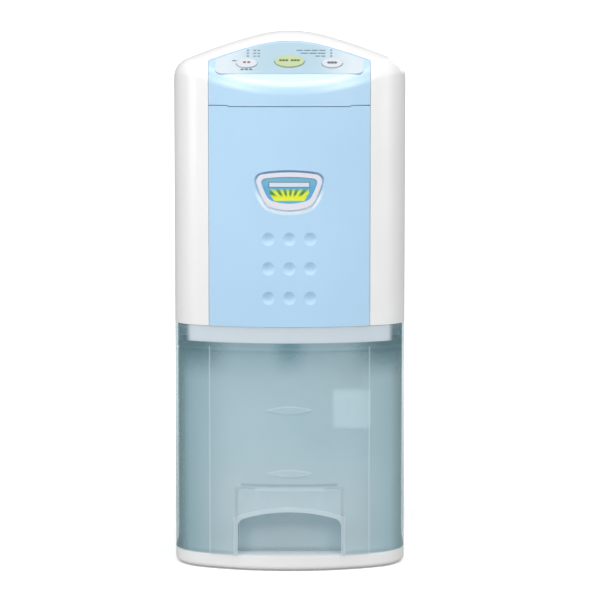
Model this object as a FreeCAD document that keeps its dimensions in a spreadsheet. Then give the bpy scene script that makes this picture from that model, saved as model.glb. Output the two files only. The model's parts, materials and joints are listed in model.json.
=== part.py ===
"""Compact compressor dehumidifier with a front-loading water tank, as a parametric document.

Millimetres, +Z up, front towards -Y, origin at the middle of the footprint on the floor.
"""

import FreeCAD, Part
import math
import os
import re
import Sketcher
from FreeCAD import Placement, Rotation, Vector

doc = FreeCAD.newDocument("dehumidifier")
dims = doc.addObject("Spreadsheet::Sheet", "dims")

# alias, value in millimetres or degrees, what it is
SIZES = [
    ("width", 204.5, "overall width"),
    ("depth", 245, "overall depth, coloured front panel to rear wall"),
    ("height", 473, "crest of the casing above the floor"),
    ("wall", 2.5, "casing wall"),
    ("proud", 1, "how far the coloured centre strip stands proud of the white casing"),
    ("front_radius", 180, "plan radius of the coloured front"),
    ("corner_radius", 43.2, "plan radius of the front corners"),
    ("rear_radius", 26, "plan radius of the rear corners"),
    ("crown_radius", 113, "arch of the top, middle"),
    ("crown_half", 30, "half width of the arch's middle"),
    ("flank_radius", 475, "arch of the top, either side"),
    ("crest_radius", 40, "rounding between control slope and top"),
    ("edge_radius", 17, "rounding of the casing's upper rim"),
    ("panel_slope", 42, "control slope above the horizontal"),
    ("panel_foot_y", -110.2, "lower edge of the control slope"),
    ("panel_foot_z", 433.7, "lower edge of the control slope"),
    ("parting", -5, "vertical joint between front and rear casing"),
    ("cover_joint", 432, "level joint between rear casing and top cover"),
    ("joint_gap", 0.2, "gap between neighbouring mouldings"),
    ("running", 0.05, "radial clearance of a turning pin"),
    ("base_low", 0.8, "underside of the base"),
    ("base_top", 13.5, "top of the base, where the tank stands"),
    ("tank_top", 215, "top edge of the tank"),
    ("seam", 406.6, "joint between front panel and control housing"),
    ("seam_gap", 0.6, "width of that joint"),
    ("seam_tab", 1.1, "drop of the seam's middle stretch"),
    ("seam_tab_half", 53, "half width of that stretch"),
    ("strip_half", 70, "half width of the coloured strip"),
    ("strip_drop", 10.2, "coloured strip's top below the casing's arch"),
    ("film_half", 64.4, "half width of the control film"),
    ("film_drop", 11.4, "control film's top below the casing's arch"),
    ("film_thick", 0.4, "control film"),
    ("panel_wall", 2.4, "coloured mouldings' wall"),
    ("key_width", 25.6, "power key, across"),
    ("key_length", 15.0, "power key, up the slope"),
    ("side_key_width", 17.6, "side keys, across"),
    ("side_key_length", 11.3, "side keys, up the slope"),
    ("side_key_x", 37.1, "side keys from the middle"),
    ("key_travel", 1.2, "key stroke"),
    ("key_proud", 1.6, "keys proud of the slope"),
    ("board_drop", 10, "control board below the film"),
    ("lamp_radius", 1.1, "indicator lens"),
    ("lamp_x", 36.3, "indicator lenses from the middle"),
    ("dimple_radius", 5.6, "front panel dimple, at the surface"),
    ("dimple_depth", 2.1, "front panel dimple"),
    ("dimple_pitch_x", 18.8, "dimples, across"),
    ("dimple_pitch_z", 25.6, "dimples, up"),
    ("dimple_z", 240.4, "lowest row of dimples"),
    ("badge_top", 349.4, "badge frame's top at the middle"),
    ("badge_low", 316.8, "badge frame's lowest point"),
    ("badge_crown", 150, "arch of the badge's top edge"),
    ("badge_side", 62, "bulge of the badge's sides"),
    ("badge_side_x", 31.6, "centre of that bulge, beyond the middle"),
    ("badge_side_z", 7.4, "centre of that bulge, above the badge's top"),
    ("badge_foot", 48, "arch of the badge's lower edge"),
    ("badge_rim", 3.8, "badge frame's visible width"),
    ("badge_chin", 5.6, "that width at the lower edge"),
    ("badge_rise", 1.6, "badge frame proud of the front, and the intake grille proud of the rear"),
    ("badge_sink", 1.3, "recess round the badge"),
    ("badge_plate_rise", 0.8, "badge plate proud of the front"),
    ("tank_rear", -8, "tank's rear face"),
    ("tank_wall", 2.4, "tank wall"),
    ("tank_back_top", 196.5, "top of the tank's rear wall"),
    ("grip_half", 45.2, "half width of the tank's finger pocket"),
    ("grip_top", 71.3, "top of the finger pocket"),
    ("grip_depth", 26, "finger pocket, front to back"),
    ("grip_arch_top", 53.1, "top of the pocket's mouth"),
    ("grip_arch_radius", 127, "arch of the mouth"),
    ("grip_rim", 3.8, "raised rim round the mouth"),
    ("mark_half", 19.5, "half length of a level mark"),
    ("mark_sag", 3, "half width of a level mark"),
    ("mark_low", 87, "lower level mark"),
    ("mark_high", 142.7, "upper level mark"),
    ("deck_low", 211, "underside of the deck over the tank"),
    ("deck_thick", 3, "deck"),
    ("skirt_low", 201, "lower edge of the deck's front skirt"),
    ("skirt_half", 89, "half width of the skirt"),
    ("lid_low", 194, "underside of the tank's lid"),
    ("float_x", 55.5, "float's middle"),
    ("float_half", 18.5, "float's half width"),
    ("float_low", 115.8, "float's underside at rest"),
    ("float_high", 154.4, "float's top at rest"),
    ("float_front", -62, "float's front"),
    ("float_thick", 26, "float, front to back"),
    ("float_pivot_y", -16, "float arm's pivot"),
    ("float_pivot_z", 162, "float arm's pivot"),
    ("outlet_half", 62, "half width of the air outlet pocket"),
    ("outlet_front", 8, "front of the outlet pocket"),
    ("outlet_back", 62, "back of the outlet pocket"),
    ("grille_top", 451, "top of the outlet grille"),
    ("flap_thick", 2.4, "louvre flap"),
    ("flap_pivot_y", 14.5, "louvre hinge"),
    ("flap_pivot_z", 469.3, "louvre hinge"),
    ("handle_in", 73, "handle arm's inner face from the middle"),
    ("handle_out", 84, "handle arm's outer face from the middle"),
    ("handle_back", 97, "rear edge of the handle's grip bar"),
    ("handle_bar", 13, "grip bar, front to back"),
    ("handle_thick", 8, "handle's thickness"),
    ("handle_pivot_y", 9, "handle pivot"),
    ("handle_pivot_z", 445.5, "handle pivot"),
    ("handle_boss", 6, "radius of the handle's pivot boss"),
    ("handle_gap", 1, "groove round the handle"),
    ("handle_pin", 2, "radius of the handle's pins"),
    ("grille_half", 72, "half width of the rear air intake"),
    ("grille_low", 234, "bottom of the rear air intake"),
    ("grille_high", 410, "top of the rear air intake"),
    ("coil_half", 78, "half width of a finned coil"),
    ("coil_low", 238, "bottom of the fins"),
    ("coil_high", 406, "top of the fins"),
    ("coil_thick", 20, "fins, front to back"),
    ("evaporator_y", 87, "front of the cold coil"),
    ("condenser_y", 62, "front of the hot coil"),
    ("tube_radius", 3.5, "coil tube"),
    ("fan_y", 20, "front face of the fan wheel"),
    ("fan_z", 332, "fan axis above the floor"),
    ("fan_radius", 62, "fan wheel"),
    ("fan_width", 32, "fan wheel, front to back"),
    ("fan_inlet", 46, "radius of the fan's air inlet"),
    ("blade_length", 9, "fan blade, along the radius"),
    ("blade_thick", 1.4, "fan blade"),
    ("shaft_radius", 3, "fan shaft"),
    ("motor_radius", 32, "fan motor"),
    ("motor_length", 30, "fan motor, front to back"),
    ("scroll_radius", 84, "inside of the fan scroll"),
    ("compressor_x", 12, "compressor's axis"),
    ("compressor_y", 62, "compressor's axis"),
    ("compressor_radius", 45, "compressor shell"),
    ("compressor_low", 22, "underside of the compressor shell"),
    ("compressor_tall", 156, "compressor shell"),
    ("plate_low", 19, "underside of the compressor's foot plate"),
    ("plate_thick", 3, "compressor's foot plate"),
    ("mount_reach", 52, "compressor's grommets from its axis"),
    ("vessel_x", -58, "accumulator's axis"),
    ("vessel_y", 46, "accumulator's axis"),
    ("vessel_radius", 17, "accumulator"),
    ("vessel_low", 42, "underside of the accumulator"),
    ("vessel_tall", 106, "accumulator"),
    ("spout_y", -34, "drip spout over the tank"),
    ("hatch_half", 28, "half width of the lid's drip hatch"),
    ("tray_half", 64, "half width of the electronics tray"),
    ("tray_front", -78, "front of the electronics tray"),
    ("tray_back", -46, "open back of the electronics tray"),
    ("tray_low", 248, "bottom of the electronics tray"),
    ("tray_high", 392, "top of the electronics tray"),
    ("tray_wall", 2, "electronics tray"),
    ("board_front", -72, "front of the main board"),
    ("board_thick", 1.6, "circuit boards"),
]
for row, (alias, size, note) in enumerate(SIZES, 1):
    dims.set(f"A{row}", note)
    dims.set(f"B{row}", str(size))
    dims.setAlias(f"B{row}", alias)
doc.recompute()

PARTS = []
X, Y, Z = Vector(1, 0, 0), Vector(0, 1, 0), Vector(0, 0, 1)
TURN = {"x": Rotation(Y, 90), "y": Rotation(X, -90), "z": Rotation()}
FAR = "300"


# ---------------------------------------------------------------- expressions

def bound(text):
    """The text with each size's name pointed at the sheet."""
    return re.sub(r"\b([a-z][a-z_]+)\b(?!\()", r"dims.\1", str(text))


def bind(thing, prop, text):
    thing.setExpression(prop, bound(text))


def number(text):
    """What an expression of sizes comes to now."""
    return float(dims.evalExpression(re.sub(r"dims\.", "", bound(text))))


def at(thing, x=None, y=None, z=None):
    for axis, text in (("x", x), ("y", y), ("z", z)):
        if text is not None:
            bind(thing, "Placement.Base." + axis, text)
    return thing


def new(kind, name):
    return doc.addObject(kind, name)


def part(label, thing):
    """Registers a finished sub-part under the name of its node."""
    thing.Label = label
    PARTS.append(thing)
    return thing


# ---------------------------------------------------------------- primitives

def box(name, x, y, z):
    """A box from pairs of expressions, low and high, along each axis."""
    solid = new("Part::Box", name)
    for prop, axis, (low, high) in zip(("Length", "Width", "Height"), "xyz", (x, y, z)):
        bind(solid, prop, f"({high}) - ({low})")
        bind(solid, "Placement.Base." + axis, low)
    return solid


def wide_box(name, half, y, z):
    """A box centred on the plane of symmetry."""
    return box(name, (f"-({half})", half), y, z)


def rod(name, axis, radius, length, x, y, z):
    """A cylinder that starts at the point and runs along the axis."""
    solid = new("Part::Cylinder", name)
    solid.Placement = Placement(Vector(), TURN[axis])
    bind(solid, "Radius", radius)
    bind(solid, "Height", length)
    return at(solid, x, y, z)


def fuse(name, *things):
    made = new("Part::MultiFuse", name)
    made.Shapes = list(things)
    made.Refine = True
    return made


def common(name, *things):
    made = new("Part::MultiCommon", name)
    made.Shapes = list(things)
    return made


def cut(name, base, *tools):
    made = new("Part::Cut", name)
    made.Base = base
    made.Tool = tools[0] if len(tools) == 1 else fuse(name + "_tools", *tools)
    return made


def group(name, *things):
    """Several separate solids of one node."""
    made = new("Part::Compound", name)
    made.Links = list(things)
    return made


def shaped(name, shape):
    """A shape made with Part's own functions."""
    made = new("Part::Feature", name)
    made.Shape = shape
    return made


def extrude(name, profile, direction, length):
    made = new("Part::Extrusion", name)
    made.Base = profile
    made.DirMode = "Custom"
    made.Dir = direction
    made.Solid = True
    bind(made, "LengthFwd", length)
    return made


def fillet(name, base, radius, chosen):
    """Rounds the edges of base that the test chooses."""
    doc.recompute()
    size = number(radius)
    picked = [(i, size, size) for i, edge in enumerate(base.Shape.Edges, 1) if chosen(edge)]
    if not picked:
        raise RuntimeError(name + " found no edge to round")
    made = new("Part::Fillet", name)
    made.Base = base
    made.Edges = picked
    return made


# ---------------------------------------------------------------- sketches

def chain(sketch, count, tangent):
    """Joins each piece's end to the next one's start, smoothly where tangent says so."""
    for i in range(count):
        kind = "Tangent" if i in tangent else "Coincident"
        sketch.addConstraint(Sketcher.Constraint(kind, i, 2, (i + 1) % count, 1))


def hold(sketch, kind, refs, text):
    """A dimension of the sketch bound to the sheet."""
    index = sketch.addConstraint(Sketcher.Constraint(kind, *refs, number(text)))
    bind(sketch, f"Constraints[{index}]", text)


def arc(centre, radius, start, end):
    return Part.ArcOfCircle(Part.Circle(centre, Z, radius), math.radians(start), math.radians(end))


def line(a, b):
    return Part.LineSegment(a, b)


def plan_sketch(name, inset, level):
    """The casing's plan outline, moved inwards by inset: bowed front, round corners, flat back."""
    side = number(f"width/2 - ({inset})")
    tail = number(f"depth/2 - ({inset})")
    centre_y = number("front_radius - depth/2")
    bow = number(f"front_radius - proud - ({inset})")
    corner = number(f"corner_radius - ({inset})")
    rear = number(f"rear_radius - ({inset})")
    corner_x = side - corner
    corner_y = centre_y - math.sqrt((bow - corner) ** 2 - corner_x**2)
    turn = math.degrees(math.atan2(corner_y - centre_y, corner_x))
    corner_left, corner_right = Vector(-corner_x, corner_y, 0), Vector(corner_x, corner_y, 0)
    sketch = new("Sketcher::SketchObject", name)
    sketch.addGeometry([
        arc(Vector(0, centre_y, 0), bow, -180 - turn, turn),
        arc(corner_right, corner, turn, 0),
        line(Vector(side, corner_y, 0), Vector(side, tail - rear, 0)),
        arc(Vector(side - rear, tail - rear, 0), rear, 0, 90),
        line(Vector(side - rear, tail, 0), Vector(rear - side, tail, 0)),
        arc(Vector(rear - side, tail - rear, 0), rear, 90, 180),
        line(Vector(-side, tail - rear, 0), Vector(-side, corner_y, 0)),
        arc(corner_left, corner, 180, 180 - turn),
    ], False)
    chain(sketch, 8, range(8))
    sketch.addConstraint(Sketcher.Constraint("PointOnObject", 0, 3, -2))
    hold(sketch, "DistanceY", (-1, 1, 0, 3), "front_radius - depth/2")
    hold(sketch, "Radius", (0,), f"front_radius - proud - ({inset})")
    for corner_arc in (1, 7):
        hold(sketch, "Radius", (corner_arc,), f"corner_radius - ({inset})")
    for rear_arc in (3, 5):
        hold(sketch, "Radius", (rear_arc,), f"rear_radius - ({inset})")
    sketch.addConstraint(Sketcher.Constraint("Vertical", 2))
    sketch.addConstraint(Sketcher.Constraint("Vertical", 6))
    sketch.addConstraint(Sketcher.Constraint("Horizontal", 4))
    hold(sketch, "DistanceX", (-1, 1, 2, 1), f"width/2 - ({inset})")
    hold(sketch, "DistanceX", (6, 1, -1, 1), f"width/2 - ({inset})")
    hold(sketch, "DistanceY", (-1, 1, 4, 1), f"depth/2 - ({inset})")
    return at(sketch, z=level)


def plan_prism(name, inset, low, high):
    return extrude(name, plan_sketch(name + "_plan", inset, low), Z, f"({high}) - ({low})")


def arch_sketch(name, inset, half, low, drop="0"):
    """Front elevation of the top: a round crown between two long flanks, over a rectangle.
    The arch lies inset inside the casing's own and drop below it."""
    top = number(f"height - ({drop})")
    crown, flank = number(f"crown_radius - ({inset})"), number(f"flank_radius - ({inset})")
    reach, floor = number(half), number(low)
    lean = math.asin(number("crown_half/crown_radius"))
    crown_z = top - number("crown_radius")
    apart = number("flank_radius - crown_radius")
    flank_x, flank_z = -apart * math.sin(lean), crown_z - apart * math.cos(lean)
    far = math.asin((reach - flank_x) / flank)
    end = Vector(reach, flank_z + flank * math.cos(far), 0)
    lean, far = math.degrees(lean), math.degrees(far)
    sketch = new("Sketcher::SketchObject", name)
    sketch.addGeometry([
        arc(Vector(0, crown_z, 0), crown, 90 - lean, 90 + lean),
        arc(Vector(-flank_x, flank_z, 0), flank, 90 + lean, 90 + far),
        line(Vector(-end.x, end.y, 0), Vector(-reach, floor, 0)),
        line(Vector(-reach, floor, 0), Vector(reach, floor, 0)),
        line(Vector(reach, floor, 0), end),
        arc(Vector(flank_x, flank_z, 0), flank, 90 - far, 90 - lean),
    ], False)
    chain(sketch, 6, (0, 5))
    sketch.addConstraint(Sketcher.Constraint("PointOnObject", 0, 3, -2))
    hold(sketch, "DistanceY", (-1, 1, 0, 3), f"height - ({drop}) - crown_radius")
    hold(sketch, "Radius", (0,), f"crown_radius - ({inset})")
    hold(sketch, "Radius", (1,), f"flank_radius - ({inset})")
    hold(sketch, "Radius", (5,), f"flank_radius - ({inset})")
    joint = f"crown_half*(crown_radius - ({inset}))/crown_radius"
    hold(sketch, "DistanceX", (-1, 1, 0, 1), joint)
    hold(sketch, "DistanceX", (0, 2, -1, 1), joint)
    for side_line in (2, 4):
        sketch.addConstraint(Sketcher.Constraint("Vertical", side_line))
    sketch.addConstraint(Sketcher.Constraint("Horizontal", 3))
    hold(sketch, "DistanceX", (-1, 1, 4, 1), half)
    hold(sketch, "DistanceX", (2, 1, -1, 1), half)
    hold(sketch, "DistanceY", (-1, 1, 3, 1), low)
    sketch.Placement = Placement(Vector(), Rotation(X, 90))
    return sketch


def arch_prism(name, inset, half, low, y, drop="0"):
    """That elevation carried along Y between two places."""
    profile = arch_sketch(name + "_arch", inset, half, low, drop)
    at(profile, y=y[0])
    return extrude(name, profile, Y, f"({y[1]}) - ({y[0]})")


# ---------------------------------------------------------------- the casing's envelope

def is_rim(edge, shape):
    """True for an edge that joins an upright wall to the sloping top."""
    box_of = edge.BoundBox
    if box_of.ZMin < number("tank_top") or (box_of.XLength < 0.01 and box_of.YLength < 0.01):
        return False
    upright = 0
    for face in shape.Faces:
        if any(edge.isSame(other) for other in face.Edges):
            u0, u1, v0, v1 = face.ParameterRange
            upright += abs(face.normalAt((u0 + u1) / 2, (v0 + v1) / 2).z) < 1e-3
    return upright == 1


def envelope(name, inset):
    """The whole casing as one solid, moved inwards by inset, with crest and rim rounded."""
    walls = plan_prism(name + "_walls", inset, "base_top", "height + 30")
    roof = arch_prism(name + "_roof", inset, "width/2 + 30", "0", ("-200", "200"))
    slope = new("Part::Box", name + "_slope")
    slope.Placement = Placement(Vector(), Rotation(X, number("panel_slope")))
    bind(slope, "Placement.Rotation.Angle", "panel_slope")
    bind(slope, "Length", "400")
    bind(slope, "Width", "400")
    bind(slope, "Height", "200")
    at(slope, "-200", f"panel_foot_y - {FAR}*cos(panel_slope)",
       f"panel_foot_z - (({inset}) + proud)/cos(panel_slope) - {FAR}*sin(panel_slope)")
    wedge = cut(name + "_wedge", roof, slope)

    def crest(edge):
        b = edge.BoundBox
        return (b.XLength > 20 and b.YLength > 1 and b.ZLength > 0.01
                and -150 < b.YMin and b.YMax < -20 and b.ZMin > 380)

    smooth = fillet(name + "_crest", wedge, f"crest_radius - ({inset})", crest)
    blank = common(name + "_blank", walls, smooth)
    doc.recompute()
    return fillet(name, blank, f"edge_radius - ({inset})", lambda e: is_rim(e, blank.Shape))


outer = envelope("outer", "0")
inner = envelope("inner", "wall")
skin = envelope("skin", "-proud")
core = envelope("core", "panel_wall - proud")


# ---------------------------------------------------------------- helpers for this casing

def front_band(name, rise, sink, x, z):
    """A piece of the bowed front between two offsets from its surface: rise out, sink in."""
    centre = "front_radius - depth/2"
    low, high = z
    bulk = rod(name + "_out", "z", f"front_radius + ({rise})", f"({high}) - ({low})", "0", centre, low)
    hollow = rod(name + "_in", "z", f"front_radius - ({sink})", f"({high}) - ({low}) + 2", "0", centre,
                 f"({low}) - 1")
    window = box(name + "_window", x, ("-depth", "-60"), (f"({low}) - 1", f"({high}) + 1"))
    return common(name, cut(name + "_ring", bulk, hollow), window)


def on_slope(thing, x, up, out):
    """Places a thing by its distance up the control slope and out of it."""
    thing.Placement = Placement(Vector(), Rotation(X, number("panel_slope")))
    bind(thing, "Placement.Rotation.Angle", "panel_slope")
    return at(thing, x, f"panel_foot_y + ({up})*cos(panel_slope) - ({out})*sin(panel_slope)",
              f"panel_foot_z + ({up})*sin(panel_slope) + ({out})*cos(panel_slope)")


def slope_box(name, x, up, out):
    slab = new("Part::Box", name)
    for prop, (low, high) in (("Length", x), ("Width", up), ("Height", out)):
        bind(slab, prop, f"({high}) - ({low})")
    return on_slope(slab, x[0], up[0], out[0])


def slope_rod(name, radius, x, up, out):
    peg = new("Part::Cylinder", name)
    bind(peg, "Radius", radius)
    bind(peg, "Height", f"({out[1]}) - ({out[0]})")
    return on_slope(peg, x, up, out[0])


def slope_oval(name, across, along, x, up, out):
    """An elliptical disc on the control slope."""
    ring = new("Part::Ellipse", name + "_ring")
    bind(ring, "MajorRadius", f"({across})/2")
    bind(ring, "MinorRadius", f"({along})/2")
    on_slope(ring, x, up, out[0])
    disc = new("Part::Extrusion", name)
    disc.Base = ring
    disc.DirMode = "Normal"
    disc.Solid = True
    bind(disc, "LengthFwd", f"({out[1]}) - ({out[0]})")
    return disc


def along(axis):
    """A test for straight edges that run along an axis."""
    return lambda edge: (edge.Curve.TypeId == "Part::GeomLine"
                         and abs(abs(edge.tangentAt(edge.FirstParameter).dot(axis)) - 1) < 1e-6)


def half_space(name, side):
    """Everything in front of the casing's vertical joint, or behind it."""
    gap = "joint_gap/2"
    ends = ("-depth", f"parting - {gap}") if side == "front" else (f"parting + {gap}", "depth")
    return wide_box(name, "width", ends, ("base_top", "height + 30"))


# ---------------------------------------------------------------- base

def make_base():
    """A shallow tray with its hollow side down, on four rubber feet."""
    tray = plan_prism("base_block", "0", "base_low", "base_top")
    doc.recompute()
    floor = number("base_low")
    block = fillet("base_round", tray, "4",
                   lambda e: e.BoundBox.ZMax < floor + 0.01 and e.BoundBox.ZMin > floor - 0.01)
    part("base", cut("base", block, plan_prism("base_hollow", "wall", "base_low - 1", "base_top - wall")))
    feet = [rod(f"foot_{x}_{y}", "z", "9", "base_top - wall", str(x), str(y), "0")
            for x in (-76, 76) for y in (-84, 94)]
    part("rubber_feet", group("rubber_feet", *feet))


# ---------------------------------------------------------------- white casing

SCREWS = [(x, z) for x in ("-66", "66") for z in ("60", "200", "425")]
GLAND_X, GLAND_Z = "60", "34"


def strip_void(name, grow):
    """The coloured strip's outline in front view, grown by a gap."""
    return arch_prism(name, "0", f"strip_half + {grow}", "100", ("-200", "-40"), f"strip_drop - {grow}")


def make_front_cabinet():
    shell = cut("front_shell", outer, inner)
    half = common("front_half", shell, half_space("front_room", "front"))
    lower = wide_box("front_tank_room", "width", ("-depth", "depth"), ("0", "tank_top + joint_gap"))
    part("front_cabinet", cut("front_cabinet", half, lower, strip_void("front_window", "joint_gap")))


def handle_plan(name, grow, front, scoop):
    """The folding handle's U from above as a tall block, grown by a gap all round."""
    z = ("height - 60", "height + 10")
    back = f"handle_back + {grow}"
    arm_in, arm_out = f"handle_in - {grow}", f"handle_out + {grow}"
    pieces = [wide_box(name + "_bar", arm_out, (f"handle_back - handle_bar - {grow}", back), z)]
    for sign, word in ((-1, "left"), (1, "right")):
        ends = (arm_in, arm_out) if sign > 0 else (f"-({arm_out})", f"-({arm_in})")
        pieces.append(box(f"{name}_{word}_arm", ends, (front, back), z))
    if scoop:
        pieces.append(wide_box(name + "_scoop", f"24 + {grow}",
                               (f"handle_back - handle_bar - 13 - {grow}", back), z))
    block = fuse(name + "_u", *pieces)
    doc.recompute()
    far = number(back) - 0.01
    return fillet(name, block, f"11 + {grow}",
                  lambda e: along(Z)(e) and e.BoundBox.YMax > far)


def pivot_rods(name, axis_y, axis_z, radius, near, far):
    """Two rods across the width, one each side, between two distances from the middle."""
    span = f"({far}) - ({near})"
    return [rod(name + "_right", "x", radius, span, near, axis_y, axis_z),
            rod(name + "_left", "x", radius, span, f"-({far})", axis_y, axis_z)]


def handle_voids(owner):
    """The handle's groove and the room round its two bosses, to cut from the owner."""
    here = ("handle_pivot_y", "handle_pivot_z")
    roof = arch_prism(owner + "_groove_floor", "0", "width", "100", ("-200", "200"), "handle_thick + 2.5")
    plan = handle_plan(owner + "_groove_plan", "handle_gap", "handle_pivot_y - 10.6", True)
    rooms = pivot_rods(owner + "_boss_room", *here, "handle_boss + handle_gap",
                       "handle_in - handle_gap", "handle_out + handle_gap")
    return [cut(owner + "_groove", plan, roof)] + rooms


def make_top_cover():
    """The arched cover behind the front casing, open over the handle and the outlet."""
    half = common("cover_half", cut("cover_shell", outer, inner), half_space("cover_room", "rear"))
    below = wide_box("cover_below", "width", ("-depth", "depth"), ("0", "cover_joint + joint_gap/2"))
    mouth_above = wide_box("outlet_mouth", "outlet_half", ("outlet_front", "outlet_back"),
                           ("grille_top - 5", "height + 20"))
    pins = pivot_rods("pin_room", "handle_pivot_y", "handle_pivot_z", "handle_pin",
                      "handle_in - 5", "handle_out + 2.6")
    part("top_cover", cut("top_cover", half, below, mouth_above, *handle_voids("cover"), *pins))


def make_rear_cabinet():
    """The rear shell below that cover, with openings for the air intake, the cord and the screws."""
    half = common("rear_half", cut("rear_shell", outer, inner), half_space("rear_room", "rear"))
    above = wide_box("rear_above", "width", ("-depth", "depth"),
                     ("cover_joint - joint_gap/2", "height + 30"))
    intake = wide_box("intake", "grille_half", ("depth/2 - 9.5", "depth/2 + 5"),
                      ("grille_low", "grille_high"))
    gland = rod("gland_hole", "y", "7", "9", GLAND_X, "depth/2 - 6", GLAND_Z)
    screws = [thing for x, z in SCREWS for thing in
              (rod(f"head_room_{x}_{z}", "y", "3.7", "3", x, "depth/2 - 1.5", z),
               rod(f"shank_room_{x}_{z}", "y", "1.6", "6", x, "depth/2 - 4", z))]
    part("rear_cabinet", cut("rear_cabinet", half, above, intake, gland, *screws))
    seat = wide_box("seat", "grille_half + 3", ("depth/2 - 11.5", "depth/2 - wall"),
                    ("grille_low - 3", "grille_high + 3"))
    throat = wide_box("throat", "grille_half - 5", ("depth/2 - 13", "depth/2"),
                      ("grille_low + 5", "grille_high - 5"))
    part("filter_seat", cut("filter_seat", seat, intake, throat))


def make_handle_pan():
    """The moulding under the top that lines the handle's groove and holds its pins."""
    here = ("handle_pivot_y", "handle_pivot_z")
    under = arch_prism("pan_floor", "0", "width", "100", ("-200", "200"), "handle_thick + 4.5")
    pan = cut("pan", handle_plan("pan_plan", "(handle_gap + 2)", "handle_pivot_y - 12.6", True), under)
    boss_wall = pivot_rods("boss_wall", *here, "handle_boss + handle_gap + 2",
                           "handle_in - handle_gap - 2", "handle_out + handle_gap + 2")
    blank = common("handle_pan_blank", fuse("handle_pan_added", pan, *boss_wall), inner,
                   half_space("handle_pan_room", "rear"))
    pins = pivot_rods("pin_hole", *here, "handle_pin", "handle_in - 5", "handle_out + 2.6")
    part("handle_pan", cut("handle_pan", blank, *handle_voids("pan"), *pins))


def make_outlet_pocket():
    """The pocket under the louvre: a ledge for the grille, and two lugs for the hinge."""
    room = common("pocket_room", inner, half_space("pocket_side", "rear"))
    wall_box = wide_box("pocket_wall", "outlet_half + 2", ("outlet_front - 2", "outlet_back + 2"),
                        ("grille_top - 8", "height + 10"))
    hollow = wide_box("pocket", "outlet_half", ("outlet_front", "outlet_back"),
                      ("grille_top - 5", "height + 20"))
    throat = wide_box("pocket_floor", "outlet_half - 2", ("outlet_front + 2", "outlet_back - 2"),
                      ("grille_top - 20", "height"))
    lugs = []
    for sign, ends in ((-1, ("-12.5", "-8.3")), (1, ("8.3", "12.5"))):
        knuckle = rod(f"lug_eye_{sign}", "x", "2.9", "4.2", ends[0], "flap_pivot_y", "flap_pivot_z")
        web = box(f"lug_web_{sign}", ends, ("outlet_front - 1", "flap_pivot_y"),
                  ("flap_pivot_z - 2.9", "flap_pivot_z + 2.9"))
        lugs += [knuckle, web]
    eye = rod("lug_bore", "x", "1.4", "30", "-15", "flap_pivot_y", "flap_pivot_z")
    bored = cut("lugs", fuse("lug_blanks", *lugs), eye)
    whole = fuse("pocket_solid", cut("pocket_carved", wall_box, hollow, throat), bored)
    part("outlet_pocket", common("outlet_pocket", whole, room))


def make_case_screws():
    """Countersunk-flush screws through the rear wall, and the cord gland beside the lowest pair."""
    screws = []
    for x, z in SCREWS:
        head = rod(f"head_{x}_{z}", "y", "3.5", "1.4", x, "depth/2 - 1.5", z)
        shank = rod(f"shank_{x}_{z}", "y", "1.6", "9.5", x, "depth/2 - 11", z)
        slot = box(f"slot_{x}_{z}", (f"{x} - 2.4", f"{x} + 2.4"), ("depth/2 - 0.7", "depth/2 + 1"),
                   (f"{z} - 0.5", f"{z} + 0.5"))
        screws.append(cut(f"screw_{x}_{z}", fuse(f"screw_blank_{x}_{z}", head, shank), slot))
    part("case_screws", group("case_screws", *screws))
    barrel = rod("gland_barrel", "y", "7", "14", GLAND_X, "depth/2 - 14", GLAND_Z)
    collar = rod("gland_collar", "y", "9.5", "4", GLAND_X, "depth/2 - wall - 4", GLAND_Z)
    bore = rod("gland_bore", "y", "3.6", "20", GLAND_X, "depth/2 - 17", GLAND_Z)
    part("cord_gland", cut("cord_gland", fuse("gland_blank", barrel, collar), bore))


def make_bay_wall():
    """The upright partition between the tank bay and the compressor."""
    wall_slab = wide_box("bay_slab", "width", ("parting - 2.4", "parting"), ("base_top", "deck_low"))
    part("bay_wall", common("bay_wall", plan_prism("bay_outline", "0", "base_top", "deck_low"), wall_slab))
    part("float_switch", box("float_switch", ("float_x - 6", "float_x + 6"), ("parting", "parting + 6"),
                             ("174", "192")))


# ---------------------------------------------------------------- coloured front

def seam_step(name, low, high):
    """The stretch of front between the seam's outer line and its lower middle line."""
    return wide_box(name, "seam_tab_half", ("-depth", "0"), (low, high))


def is_dimple_rim(edge):
    """True for the closed edge where a ball meets the bowed front."""
    box_of = edge.BoundBox
    return edge.isClosed() and box_of.ZLength < 3 * number("dimple_radius") and box_of.YMax < -100


def is_badge_rim(edge):
    """True for the edges where the badge's recess meets the bowed front."""
    box_of = edge.BoundBox
    middle = edge.valueAt((edge.FirstParameter + edge.LastParameter) / 2)
    from_axis = math.hypot(middle.x, middle.y - number("front_radius - depth/2"))
    return (abs(from_axis - number("front_radius")) < 0.02 and abs(middle.x) < number("badge_side")
            and box_of.ZMin > number("badge_low - 8") and box_of.ZMax < number("badge_top + 8"))


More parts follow.
